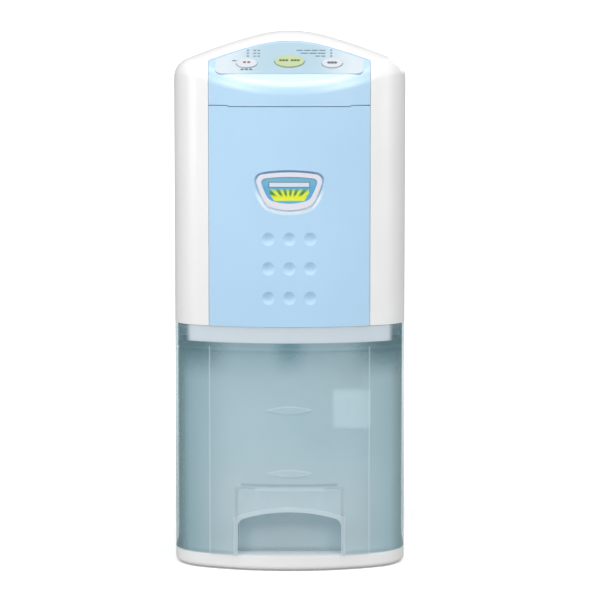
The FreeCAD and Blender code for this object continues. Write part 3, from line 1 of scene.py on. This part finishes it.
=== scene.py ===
"""The looks of the dehumidifier: materials, printed details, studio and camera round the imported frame."""
import json
import math

import bmesh
import bpy
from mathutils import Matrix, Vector


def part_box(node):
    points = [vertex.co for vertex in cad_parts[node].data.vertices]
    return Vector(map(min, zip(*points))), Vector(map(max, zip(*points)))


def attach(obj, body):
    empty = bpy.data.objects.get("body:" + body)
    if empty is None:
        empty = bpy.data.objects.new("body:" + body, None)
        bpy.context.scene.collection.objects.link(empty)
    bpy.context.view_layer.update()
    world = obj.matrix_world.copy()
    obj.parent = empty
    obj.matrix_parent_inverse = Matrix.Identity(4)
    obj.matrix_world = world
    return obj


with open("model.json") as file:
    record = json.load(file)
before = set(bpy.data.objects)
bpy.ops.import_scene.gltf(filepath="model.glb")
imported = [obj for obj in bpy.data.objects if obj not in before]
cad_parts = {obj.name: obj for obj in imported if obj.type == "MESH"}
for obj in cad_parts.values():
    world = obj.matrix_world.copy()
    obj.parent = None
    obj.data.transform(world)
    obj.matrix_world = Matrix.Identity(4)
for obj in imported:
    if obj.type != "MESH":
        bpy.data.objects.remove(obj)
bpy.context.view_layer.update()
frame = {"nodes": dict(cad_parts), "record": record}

NODES = frame["nodes"]
MM = 0.001
WHITE = (1.0, 1.0, 1.0, 1.0)
FRONT_BLUE, DEEP_BLUE = "b2d4ee", "aed0ea"
TANK_FRONT = -110 * MM      # the tank's front wall lies before this depth
CONTROL_SLOPE = math.radians(42)
FILM_THICK = 0.4            # millimetres, like the three that follow
PRINT_THICK = 0.05
ON_FILM = 0.41
ON_KEY = 1.61


# ---------------------------------------------------------------- shader helpers

def srgb(code):
    """A hexadecimal screen colour as linear RGBA."""
    parts = [int(code[i:i + 2], 16) / 255 for i in (0, 2, 4)]
    linear = [p / 12.92 if p <= 0.04045 else ((p + 0.055) / 1.055) ** 2.4 for p in parts]
    return (*linear, 1.0)


def tinted(code, factor):
    """That colour, darker or lighter by a factor."""
    return tuple(min(1.0, c * factor) for c in srgb(code)[:3]) + (1.0,)


class Shader:
    """A node tree with short calls for the nodes that the materials here use."""

    def __init__(self, name):
        self.material = bpy.data.materials.new(name)
        self.material.use_nodes = True
        self.tree = self.material.node_tree
        self.surface = self.tree.nodes["Principled BSDF"]
        self.output = self.tree.nodes["Material Output"]
        self.place = self.add("ShaderNodeTexCoord").outputs["Object"]
        apart = self.add("ShaderNodeSeparateXYZ", {"Vector": self.place})
        self.x, self.y, self.z = (apart.outputs[axis] for axis in "XYZ")
        self.aside = self.math("ABSOLUTE", self.x)

    def add(self, kind, inputs=None, **settings):
        """A new node with its settings and inputs."""
        node = self.tree.nodes.new(kind)
        for key, value in settings.items():
            setattr(node, key, value)
        for key, value in (inputs or {}).items():
            self.put(value, node.inputs[key])
        return node

    def put(self, value, socket):
        """Links a node's output to the socket, or sets the socket's own value."""
        if isinstance(value, bpy.types.NodeSocket):
            self.tree.links.new(value, socket)
        else:
            socket.default_value = value

    def set(self, **values):
        """Sets inputs of the surface shader by name, underscores for spaces."""
        for key, value in values.items():
            self.put(value, self.surface.inputs[key.replace("_", " ")])

    def noise(self, scale, detail=2.0):
        """Smooth noise from 0 to 1, fixed to the object."""
        return self.add("ShaderNodeTexNoise", {"Vector": self.place, "Scale": scale, "Detail": detail}
                        ).outputs["Fac"]

    def ramp(self, factor, low, high, first, last, kind="LINEAR"):
        """A number mapped from first..last onto low..high."""
        return self.add("ShaderNodeMapRange", {"Value": factor, "From Min": first, "From Max": last,
                                               "To Min": low, "To Max": high}, interpolation_type=kind
                        ).outputs["Result"]

    def rise(self, value, first, last, high=1.0):
        """0 up to first, high from last on, smooth between."""
        return self.ramp(value, 0.0, high, first, last, "SMOOTHSTEP")

    def fall(self, value, first, last, high=1.0, low=0.0):
        """high up to first, low from last on, smooth between."""
        return self.ramp(value, high, low, first, last, "SMOOTHSTEP")

    def mix(self, factor, a, b):
        """Colour a where the factor is 0, b where it is 1."""
        node = self.add("ShaderNodeMix", data_type="RGBA")
        self.put(factor, node.inputs["Factor"])
        self.put(a, node.inputs[6])
        self.put(b, node.inputs[7])
        return node.outputs[2]

    def mix_numbers(self, factor, a, b):
        """a where the factor is 0, b where it is 1."""
        return self.ramp(factor, a, b, 0.0, 1.0)

    def math(self, operation, *numbers):
        """One math node."""
        node = self.add("ShaderNodeMath", operation=operation)
        for number, socket in zip(numbers, node.inputs):
            self.put(number, socket)
        return node.outputs[0]

    def minus(self, a, b):
        """a without b."""
        return self.math("SUBTRACT", a, b)

    def times(self, first, *others):
        """The product of all."""
        for other in others:
            first = self.math("MULTIPLY", first, other)
        return first

    def most(self, first, *others):
        """The largest of all."""
        for other in others:
            first = self.math("MAXIMUM", first, other)
        return first

    def apart(self, value, centre):
        """How far a number is from another, without sign."""
        return self.math("ABSOLUTE", self.minus(value, centre))

    def distance(self, a, b, centre_a, centre_b):
        """How far (a, b) is from a point in that plane."""
        squares = [self.math("POWER", self.minus(value, centre), 2.0)
                   for value, centre in ((a, centre_a), (b, centre_b))]
        return self.math("SQRT", self.math("ADD", *squares))

    def bump(self, height, strength, distance):
        """A normal tilted by a height."""
        return self.add("ShaderNodeBump", {"Height": height, "Strength": strength, "Distance": distance}
                        ).outputs["Normal"]


def skin(s, rough, grain):
    """Slightly uneven gloss and a fine moulded grain."""
    s.set(Roughness=s.ramp(s.noise(35.0, 3.0), rough - 0.02, rough + 0.04, 0.3, 0.7))
    if grain:
        s.set(Normal=s.bump(s.noise(900.0, 1.0), grain, 0.04 * MM))


def cloud(s, code, deep):
    """A colour that drifts slowly towards a second one."""
    return s.mix(s.ramp(s.noise(9.0), 0.0, 1.0, 0.35, 0.7), srgb(code), deep)


def plastic(name, code, rough=0.35, grain=0.08, coat=0.0):
    """Moulded plastic: slightly uneven colour, uneven gloss and spark-eroded grain."""
    s = Shader(name)
    s.set(Base_Color=cloud(s, code, tinted(code, 0.96)), Coat_Weight=coat, Coat_Roughness=0.12)
    skin(s, rough, grain)
    return s.material


def metal(name, code, rough=0.35):
    """Plain metal with fine scratches and a little tarnish."""
    s = Shader(name)
    s.set(Base_Color=s.mix(s.ramp(s.noise(90.0, 5.0), 0.0, 0.8, 0.45, 0.75), srgb(code), tinted(code, 0.72)),
          Metallic=1.0, Roughness=s.ramp(s.noise(300.0, 3.0), rough - 0.06, rough + 0.12, 0.3, 0.7))
    s.set(Normal=s.bump(s.noise(1800.0), 0.15, 0.1 * MM))
    return s.material


def rubber(name, code):
    """Dull rubber with dust and a coarse grain."""
    s = Shader(name)
    dusty = tuple(min(1.0, c + 0.03) for c in srgb(code)[:3]) + (1.0,)
    s.set(Base_Color=s.mix(s.ramp(s.noise(120.0, 4.0), 0.0, 1.0, 0.45, 0.75), srgb(code), dusty),
          Roughness=s.ramp(s.noise(200.0), 0.6, 0.8, 0.3, 0.7))
    s.set(Normal=s.bump(s.noise(1500.0, 3.0), 0.3, 0.2 * MM))
    return s.material


def see_through(s, veil):
    """Lets a part of the light straight through: veil is the part that the surface scatters."""
    clear = s.add("ShaderNodeBsdfTransparent", {"Color": srgb("f2f9fb")})
    blend = s.add("ShaderNodeMixShader")
    s.put(veil, blend.inputs[0])
    s.tree.links.new(clear.outputs[0], blend.inputs[1])
    s.tree.links.new(s.surface.outputs[0], blend.inputs[2])
    s.tree.links.new(blend.outputs[0], s.output.inputs["Surface"])
    return s.material


def frosted(name, code, deep, opacity):
    """Frosted translucent plastic: each face scatters a part of the light and lets the rest through."""
    s = Shader(name)
    cloudy = s.noise(11.0)
    s.set(Base_Color=s.mix(s.ramp(cloudy, 0.0, 1.0, 0.35, 0.7), srgb(code), srgb(deep)),
          Coat_Weight=0.3, Coat_Roughness=0.15)
    skin(s, 0.3, 0.05)
    return see_through(s, s.ramp(cloudy, opacity - 0.02, opacity + 0.02, 0.3, 0.7))


def tank_look():
    """The tank: frosted, a painted light band at its top, painted highlights on rims, edges, marks and ledge,
    painted shade under the deck.
    """
    s = Shader("tank_frosted")
    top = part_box("tank")[1][2]
    toned = tank_tones(s, top)
    in_ledge = s.times(s.math("LESS_THAN", s.y, TANK_FRONT), s.fall(s.aside, 41 * MM, 43.5 * MM))
    # painted shade just above the pocket's ledge and a painted highlight just below it
    shade_height, gleam_height = 76.2 * MM, 72.2 * MM
    shade = s.fall(s.apart(s.z, shade_height), 0.0, 2.2 * MM, 0.5)
    gleam = s.fall(s.apart(s.z, gleam_height), 0.3 * MM, 1.4 * MM, 0.3)
    toned = s.mix(s.times(in_ledge, shade), toned, srgb("86abb6"))
    # painted light: a near-white band at the top of the wall where the lit white skirt shows through
    band_low, band_half = top - 14 * MM, 89 * MM
    painted_band_light = s.times(s.rise(s.z, band_low - 0.5 * MM, band_low + 0.5 * MM),
                   s.fall(s.aside, band_half - 3 * MM, band_half + 3 * MM))
    toned = s.mix(painted_band_light, toned, srgb("f2f8ff"))
    # painted highlights on the pocket rim, strip edges, level marks and ledge
    painted_highlights = s.most(tank_edge_highlights(s, top), tank_mark_highlights(s), s.times(in_ledge, gleam))
    s.set(Base_Color=s.mix(painted_highlights, toned, srgb("f2fafd")), Specular_IOR_Level=0.3,
          Coat_Weight=0.1, Coat_Roughness=0.2)
    skin(s, 0.3, 0.0)
    veil = s.mix_numbers(painted_band_light, 0.36, 0.46)
    return see_through(s, s.math("ADD", veil, s.times(painted_highlights, 0.2)))


def tank_tones(s, top):
    """The wall's colour with painted light and shade: pale low in the middle, deeper at the flanks and edges,
    shaded below the deck.
    """
    pale = s.mix(s.ramp(s.noise(11.0), 0.0, 1.0, 0.35, 0.7), srgb("e0f4fc"), srgb("d8f0f8"))
    # painted light: paler lower down
    pale = s.mix(s.fall(s.z, 60 * MM, 120 * MM, 0.7), pale, srgb("eef8fc"))
    # painted shade: darker towards the flanks and edges, darker at the left edge than the right
    rightward = s.ramp(s.x, 0.0, 1.0, -90 * MM, 90 * MM)
    flank_shade = s.mix(rightward, srgb("b6d4dc"), srgb("cce4ea"))
    edge = s.mix(rightward, srgb("7d999c"), srgb("a6bdc0"))
    toned = s.mix(s.rise(s.aside, 45 * MM, 100 * MM), pale, flank_shade)
    toned = s.mix(s.rise(s.aside, 88 * MM, 101 * MM), toned, edge)
    # painted shade below the deck, strongest in the middle and at the ends
    deck_shade = s.rise(s.z, top - 50 * MM, top - 15 * MM)
    middle = s.fall(s.aside, 0.0, 20 * MM, 1.0, 0.45)
    ends = s.rise(s.aside, 45 * MM, 85 * MM)
    toned = s.mix(s.times(deck_shade, middle), toned, srgb("8db6c0"))
    return s.mix(s.times(deck_shade, ends), toned, srgb("7898a0"))


def tank_edge_highlights(s, top):
    """The painted highlight on the raised rim of the finger pocket and on the edges of the centre strip, from
    0 to 1.
    """
    strip_half = 70 * MM
    crease_highlight = s.ramp(s.apart(s.aside, strip_half), 0.45, 0.0, 0.3 * MM, 0.9 * MM)
    below = s.math("LESS_THAN", s.z, top - 18 * MM)
    front = s.math("LESS_THAN", s.y, -100 * MM)
    half, crown, radius, rim = 45.2 * MM, 53.1 * MM, 127 * MM, 3.8 * MM
    axis, wall_radius = 57.5 * MM, 178.6 * MM
    under = s.math("LESS_THAN", s.distance(s.x, s.z, 0.0, crown - radius), radius + rim)
    within = s.math("LESS_THAN", s.aside, half + rim)
    outside = s.math("GREATER_THAN", s.distance(s.x, s.y, 0.0, axis), wall_radius)
    return s.most(s.times(crease_highlight, below, front), s.times(under, within, outside, 0.4))


def tank_mark_highlights(s):
    """Painted highlights on the two lens-shaped level marks in the tank's front: pale outline, faint inside.
    """
    half, sag = 19.5 * MM, 3 * MM
    radius = (half * half + sag * sag) / (2 * sag)
    chord = s.most(s.minus(radius * radius, s.math("POWER", s.x, 2.0)), 0.0)
    bulge = s.minus(s.math("SQRT", chord), radius - sag)
    front = s.math("LESS_THAN", s.y, TANK_FRONT)
    found = 0.0
    for level in (87 * MM, 142.7 * MM):
        depth = s.minus(bulge, s.apart(s.z, level))
        outline_highlight = s.ramp(s.apart(depth, 0.3 * MM), 0.3, 0.0, 0.3 * MM, 0.8 * MM)
        inside = s.ramp(depth, 0.0, 0.1, 0.0, 1 * MM)
        found = s.most(found, s.times(outline_highlight, front), s.times(inside, front))
    return found


def float_look():
    """The float: a white block on a clear arm, paler towards the middle of its faces."""
    s = Shader("float_white")
    low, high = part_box("tank_float")
    block_top = 154.4 * MM
    middle_x, half_x = (low[0] + high[0]) / 2, (high[0] - low[0]) / 2
    middle_z, half_z = (low[2] + block_top) / 2, (block_top - low[2]) / 2
    side = s.minus(half_x, s.apart(s.x, middle_x))
    end = s.minus(half_z, s.apart(s.z, middle_z))
    inwards = s.rise(s.math("MINIMUM", side, end), -1 * MM, 4 * MM)
    s.set(Base_Color=s.mix(inwards, srgb("c3d8de"), srgb("ffffff")), Coat_Weight=0.1)
    skin(s, 0.5, 0.08)
    solid = s.mix_numbers(inwards, 0.4, 1.0)
    block = s.ramp(s.z, 1.0, 0.08, block_top - 0.5 * MM, block_top + 0.5 * MM)
    return see_through(s, s.times(solid, block))


def panel_look():
    """The front's blue, with a painted shadow along the top of the badge's recess and a painted highlight
    along its foot.
    """
    s = Shader("front_blue")
    low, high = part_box("badge_frame")
    crown, foot, side = 150 * MM, 48 * MM, 62 * MM
    side_x, side_rise = 31.6 * MM, 7.4 * MM
    above = s.minus(s.distance(s.x, s.z, 0.0, high[2] - crown), crown)
    below = s.minus(s.distance(s.x, s.z, 0.0, low[2] + foot), foot)
    beside = s.minus(s.distance(s.aside, s.z, -side_x, high[2] + side_rise), side)
    off = s.most(s.math("SMOOTH_MAX", above, beside, 16 * MM), s.math("SMOOTH_MAX", below, beside, 4.5 * MM))
    upper = s.rise(s.z, high[2] - 9 * MM, high[2] - 3 * MM)
    lower = s.fall(s.z, low[2] + 8 * MM, low[2] + 20 * MM)
    # painted shadow along the top of the recess and painted highlight along its foot
    painted_shadow = s.times(upper, s.fall(off, 1 * MM, 2.5 * MM, 0.85))
    light = s.times(lower, s.fall(off, 2.6 * MM, 5.6 * MM))
    plain = cloud(s, FRONT_BLUE, srgb(DEEP_BLUE))
    s.set(Base_Color=s.mix(light, s.mix(painted_shadow, plain, srgb("63829f")), srgb("e2f2fc")), Specular_IOR_Level=0.3)
    skin(s, 0.45, 0.08)
    return s.material


def head_look():
    """The control head's blue: glossier than the panel, with a paler painted highlight where it rounds over
    under the film.
    """
    s = Shader("head_blue")
    lip_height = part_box("control_housing")[0][2] + 23.5 * MM
    # painted highlight: a paler band where the head rounds over under the film
    lip_highlight = s.fall(s.apart(s.z, lip_height), 1 * MM, 10 * MM, 0.42)
    middle = s.fall(s.aside, 35 * MM, 75 * MM)
    plain = cloud(s, FRONT_BLUE, srgb(DEEP_BLUE))
    s.set(Base_Color=s.mix(s.times(lip_highlight, middle), plain, srgb("eef4fa")),
          Specular_IOR_Level=0.7, Coat_Weight=0.35, Coat_Roughness=0.42)
    skin(s, 0.36, 0.08)
    return s.material


def film_print():
    """Printed control film: grey-blue in the middle, pale blue at both ends as a painted reflection, under a
    gloss lacquer.
    """
    s = Shader("control_film")
    # painted reflection: paler towards both ends of the film
    base = s.mix(s.rise(s.aside, 18 * MM, 58 * MM), srgb("aac4d2"), srgb("ced8de"))
    speck = s.ramp(s.noise(2400.0, 1.0), 0.0, 0.12, 0.5, 0.8)
    s.set(Base_Color=s.mix(speck, base, srgb("bccfda")), Coat_Weight=0.4, Coat_Roughness=0.08)
    skin(s, 0.25, 0.0)
    return s.material


def badge_print():
    """A plain emblem: blue, a pale bar, and under it a yellow-green field with rays that spread upwards."""
    s = Shader("badge_blue")
    low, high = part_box("badge_plate")
    up = s.minus(s.z, low[2])
    rays_below, ray_count = 4 * MM, 20.0
    lean = s.math("ARCTAN2", s.x, s.math("ADD", up, rays_below))
    rays = s.ramp(s.math("SINE", s.times(lean, ray_count)), 0.0, 1.0, -0.35, 0.35, "SMOOTHSTEP")
    rayed = s.mix(rays, srgb("d9e33c"), srgb("4f8a3e"))
    field = s.mix(s.rise(up, 5 * MM, 8.5 * MM), srgb("dfe82e"), rayed)
    field = s.mix(s.rise(up, 9 * MM, 12.5 * MM, 0.6), field, srgb("6db49a"))
    reach = s.ramp(up, 12.5 * MM, 17.5 * MM, 1 * MM, 9 * MM)
    window = s.times(s.fall(s.minus(s.aside, reach), -1 * MM, 0.0), s.fall(up, 12 * MM, 13 * MM),
                     s.rise(up, 1.8 * MM, 3 * MM))
    from_bar = s.apart(up, 16.3 * MM)
    bar = s.times(s.fall(s.aside, 16.8 * MM, 17.6 * MM), s.fall(from_bar, 1.5 * MM, 2.1 * MM))
    edge = s.times(s.fall(s.aside, 17.6 * MM, 18.4 * MM), s.fall(from_bar, 2.2 * MM, 2.9 * MM))
    sky = s.mix(s.rise(up, 12 * MM, high[2] - low[2]), srgb("5ea6cc"), srgb("7db4d2"))
    drawn = s.mix(s.times(edge, 0.7), s.mix(window, sky, field), srgb("3f5f78"))
    s.set(Base_Color=s.mix(bar, drawn, srgb("cfdde6")), Coat_Weight=0.4, Coat_Roughness=0.1)
    skin(s, 0.3, 0.0)
    return s.material


# ---------------------------------------------------------------- materials of the CAD nodes

LOOKS = {
    "white_plastic": plastic("shell_white", "ededed", rough=0.3, coat=0.1),
    "blue_plastic": panel_look(),
    "clear_tank": tank_look(),
    "clear_lid": frosted("lid_frosted", "b9d2da", "afcad3", opacity=0.35),
    "float_white": float_look(),
    "key_white": plastic("key_white", "ced3d8", rough=0.3, coat=0.2),
    "key_green": plastic("key_green", "b7c59a", rough=0.3, coat=0.2),
    "lamp_lens": plastic("lamp_lens", "8fa3b0", rough=0.15, coat=0.5, grain=0.0),
    "control_film": film_print(),
    "badge_silver": plastic("badge_silver", "dfe0ea", rough=0.22, coat=0.4, grain=0.0),
    "badge_blue": badge_print(),
    "handle_grey": plastic("handle_grey", "dfe3e6", rough=0.42, grain=0.15),
    "grille_grey": plastic("grille_grey", "d7dcdf", rough=0.42, grain=0.15),
    "filter_net": plastic("filter_net", "5f666b", rough=0.7),
    "black_plastic": plastic("black_plastic", "26272a", rough=0.45),
    "black_rubber": rubber("black_rubber", "1e1e20"),
    "black_steel": plastic("black_enamel", "1b1c1e", rough=0.3, coat=0.3),
    "zinc_steel": metal("zinc_steel", "c9cbcc", rough=0.35),
    "magnet_steel": metal("magnet_steel", "a9abad", rough=0.25),
    "copper": metal("copper_tube", "d09070", rough=0.3),
    "fin_aluminium": metal("fin_aluminium", "d3d6d8", rough=0.35),
    "circuit_board": plastic("circuit_board", "2c6b3f", rough=0.35, coat=0.3),
}
for row in frame["record"]["subparts"]:
    mesh = NODES[row["node"]].data
    mesh.materials.clear()
    mesh.materials.append(LOOKS[row["material_slot"]])

NODES["control_housing"].data.materials[0] = head_look()

SOFT_EDGES = {"front_panel": 0.45, "control_housing": 0.45, "front_cabinet": 0.4, "rear_cabinet": 0.4,
              "tank": 0.5, "base": 0.5, "badge_frame": 1.0, "control_film": 0.12, "power_key": 0.5,
              "left_key": 0.45, "right_key": 0.45, "carry_handle": 0.8, "louvre_flap": 0.5,
              "intake_grille": 0.35, "outlet_grille": 0.3, "deck": 0.3, "handle_pan": 0.3}
for name, size in SOFT_EDGES.items():
    node = NODES[name]
    weld = node.modifiers.new("weld", "WELD")
    weld.merge_threshold = 0.000002
    soft = node.modifiers.new("soft_edges", "BEVEL")
    soft.width = size * MM
    soft.segments = 3
    soft.limit_method = "ANGLE"
    soft.angle_limit = math.radians(40)
    even = node.modifiers.new("even_shading", "WEIGHTED_NORMAL")
    even.weight = 100
    even.keep_sharp = False


# ---------------------------------------------------------------- printed marks

def slope_frame():
    """The film's lower edge on the control slope, the way up the slope, and the way out of it."""
    rise, run = math.sin(CONTROL_SLOPE), math.cos(CONTROL_SLOPE)
    margin = 0.4 * MM
    low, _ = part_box("control_film")
    up, out = Vector((0, run, rise)), Vector((0, -rise, run))
    start = Vector((0, low[1] + FILM_THICK * MM * rise, low[2])) - up * margin
    return start, up, out


def print_bars(name, body, code, bars, lift):
    """Thin printed dashes on the control slope: each is (x, up, length, width) in millimetres."""
    start, up, out = slope_frame()
    end_steps = 6
    made = bmesh.new()
    for x, rise, length, width in bars:
        middle = start + Vector((x * MM, 0, 0)) + up * (rise * MM) + out * (lift * MM)
        round_end = width / 2
        corners = []
        for sign in (1, -1):
            for step in range(end_steps + 1):
                turn = math.radians(180 / end_steps * step - sign * 90)
                across = sign * max(0.0, length / 2 - round_end) + round_end * math.cos(turn)
                corners.append(middle + Vector((across * MM, 0, 0)) + up * (round_end * math.sin(turn) * MM))
        face = made.faces.new([made.verts.new(c) for c in corners])
        raised = bmesh.ops.extrude_face_region(made, geom=[face])
        for thing in raised["geom"]:
            if isinstance(thing, bmesh.types.BMVert):
                thing.co += out * (PRINT_THICK * MM)
    bmesh.ops.recalc_face_normals(made, faces=made.faces)
    mesh = bpy.data.meshes.new(name)
    made.to_mesh(mesh)
    made.free()
    piece = bpy.data.objects.new(name, mesh)
    bpy.context.scene.collection.objects.link(piece)
    s = Shader(name + "_ink")
    s.set(Base_Color=s.mix(s.ramp(s.noise(700.0), 0.0, 1.0, 0.35, 0.7), srgb(code), tinted(code, 1.25)))
    skin(s, 0.35, 0.0)
    mesh.materials.append(s.material)
    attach(piece, body)


def dashes(first, last, rise, pieces, width=1.3, gap=0.8):
    """A broken line between two places across the slope."""
    length = (last - first - gap * (pieces - 1)) / pieces
    return [(first + length / 2 + i * (length + gap), rise, length, width) for i in range(pieces)]


def make_prints():
    """The legends beside the lamps and round the left key, and a mark on each key."""
    rows = (23.2, 27.0, 30.8)
    left = [bar for rise in rows for bar in dashes(-31.7, -25.4, rise, 2)]
    left += dashes(-50.0, -41.0, 17.2, 2) + dashes(-42.4, -32.0, 5.8, 3, 2.0, 0.6)
    right = dashes(6.0, 31.4, rows[2], 4) + dashes(9.5, 31.4, rows[1], 3) + dashes(22.4, 31.4, rows[0], 2)
    print_bars("legend_left", "casing", "5b6e7f", left, ON_FILM)
    print_bars("legend_right", "casing", "5b6e7f", right, ON_FILM)
    print_bars("power_mark", "power_key", "5d6b45", dashes(-8.8, -1.2, 16.4, 3, 2.8, 0.5)
               + dashes(1.2, 8.8, 16.4, 3, 2.8, 0.5), ON_KEY)
    print_bars("left_mark", "left_key", "85626b", dashes(-40.4, -33.8, 13.9, 2, 2.8, 0.7), ON_KEY)
    print_bars("right_mark", "right_key", "62666f", dashes(33.2, 41.0, 13.4, 3, 3.2, 0.5), ON_KEY)


make_prints()


# ---------------------------------------------------------------- studio and camera

def make_stage():
    """A white floor that curves up into a white backdrop."""
    backdrop = bmesh.new()
    near, depth, wide, rise, bend, steps = -4.0, 3.0, 6.0, 4.0, 1.2, 12
    profile = [(near, 0.0)]
    for i in range(steps + 1):
        turn = math.radians(90 * i / steps)
        profile.append((depth - bend + bend * math.sin(turn), bend - bend * math.cos(turn)))
    profile.append((depth, rise))
    rows = [[backdrop.verts.new((x, y, z)) for x in (-wide, wide)] for y, z in profile]
    for low, high in zip(rows, rows[1:]):
        backdrop.faces.new((low[0], low[1], high[1], high[0]))
    mesh = bpy.data.meshes.new("studio_floor")
    backdrop.to_mesh(mesh)
    backdrop.free()
    for face in mesh.polygons:
        face.use_smooth = True
    floor = bpy.data.objects.new("studio_floor", mesh)
    bpy.context.scene.collection.objects.link(floor)
    s = Shader("studio_white")
    paper = s.mix(s.ramp(s.noise(3.0), 0.0, 1.0, 0.3, 0.7), srgb("fafafa"), srgb("f7f7f8"))
    outwards = s.distance(s.x, s.y, 0.0, 0.0)
    s.set(Base_Color=paper, Roughness=0.9, Specular_IOR_Level=0.1, Emission_Color=WHITE,
          Emission_Strength=s.ramp(outwards, 0.3, 0.9, 0.25, 1.4, "SMOOTHSTEP"))
    dull = s.add("ShaderNodeBsdfDiffuse", {"Color": (0.5, 0.5, 0.5, 1.0)})
    seen = s.add("ShaderNodeLightPath").outputs["Is Camera Ray"]
    both = s.add("ShaderNodeMixShader", {0: seen, 1: dull.outputs[0], 2: s.surface.outputs[0]})
    s.tree.links.new(both.outputs[0], s.output.inputs["Surface"])
    mesh.materials.append(s.material)


def make_light(name, place, target, size, power):
    """A rectangular lamp that faces its target."""
    light = bpy.data.lights.new(name, "AREA")
    light.shape = "RECTANGLE"
    light.size, light.size_y = size
    light.energy = power
    lamp = bpy.data.objects.new(name, light)
    lamp.location = place
    lamp.rotation_mode = "QUATERNION"
    lamp.rotation_quaternion = (Vector(target) - Vector(place)).to_track_quat("-Z", "Y")
    bpy.context.scene.collection.objects.link(lamp)


def make_studio():
    """White surroundings, dim as a light source, and six lamps."""
    scene = bpy.context.scene
    scene.view_settings.view_transform = "Standard"
    world = bpy.data.worlds.new("studio_air")
    scene.world = world
    world.use_nodes = True
    tree = world.node_tree
    air = tree.nodes["Background"]
    air.inputs["Color"].default_value = WHITE
    air.inputs["Strength"].default_value = 0.4
    wall = tree.nodes.new("ShaderNodeBackground")
    wall.inputs["Color"].default_value = WHITE
    both = tree.nodes.new("ShaderNodeMixShader")
    tree.links.new(tree.nodes.new("ShaderNodeLightPath").outputs["Is Camera Ray"], both.inputs[0])
    tree.links.new(air.outputs[0], both.inputs[1])
    tree.links.new(wall.outputs[0], both.inputs[2])
    tree.links.new(both.outputs[0], tree.nodes["World Output"].inputs["Surface"])
    make_light("left_light", (-0.85, -1.75, 1.15), (0, 0, 0.25), (0.5, 0.5), 11)
    make_light("right_light", (0.85, -1.75, 1.15), (0, 0, 0.25), (0.5, 0.5), 9.5)
    make_light("top_light", (0, -0.62, 1.85), (0, 0, 0.35), (1.0, 0.4), 11)
    make_light("left_side_light", (-2.0, -0.6, 0.8), (0, 0, 0.25), (0.8, 1.2), 11)
    make_light("right_side_light", (2.0, -0.6, 0.8), (0, 0, 0.25), (0.8, 1.2), 7.5)
    make_light("back_light", (1.0, 1.7, 1.1), (0, 0, 0.25), (1.0, 0.8), 9)


def make_camera():
    """The photograph's view: from 2 m in front, a little under the crest, tilted down."""
    aside, distance, eye, tilt, swing, lens = 18.0, 2122.5, 417, 5.086, 0.25, 139.13
    data = bpy.data.cameras.new("studio_camera")
    data.sensor_width = 36
    data.lens = lens
    data.clip_start, data.clip_end = 0.05, 50
    camera = bpy.data.objects.new("studio_camera", data)
    camera.location = (aside * MM, -distance * MM, eye * MM)
    camera.rotation_euler = (math.radians(90 - tilt), 0, math.radians(swing))
    bpy.context.scene.collection.objects.link(camera)
    bpy.context.scene.camera = camera


make_stage()
make_studio()
make_camera()
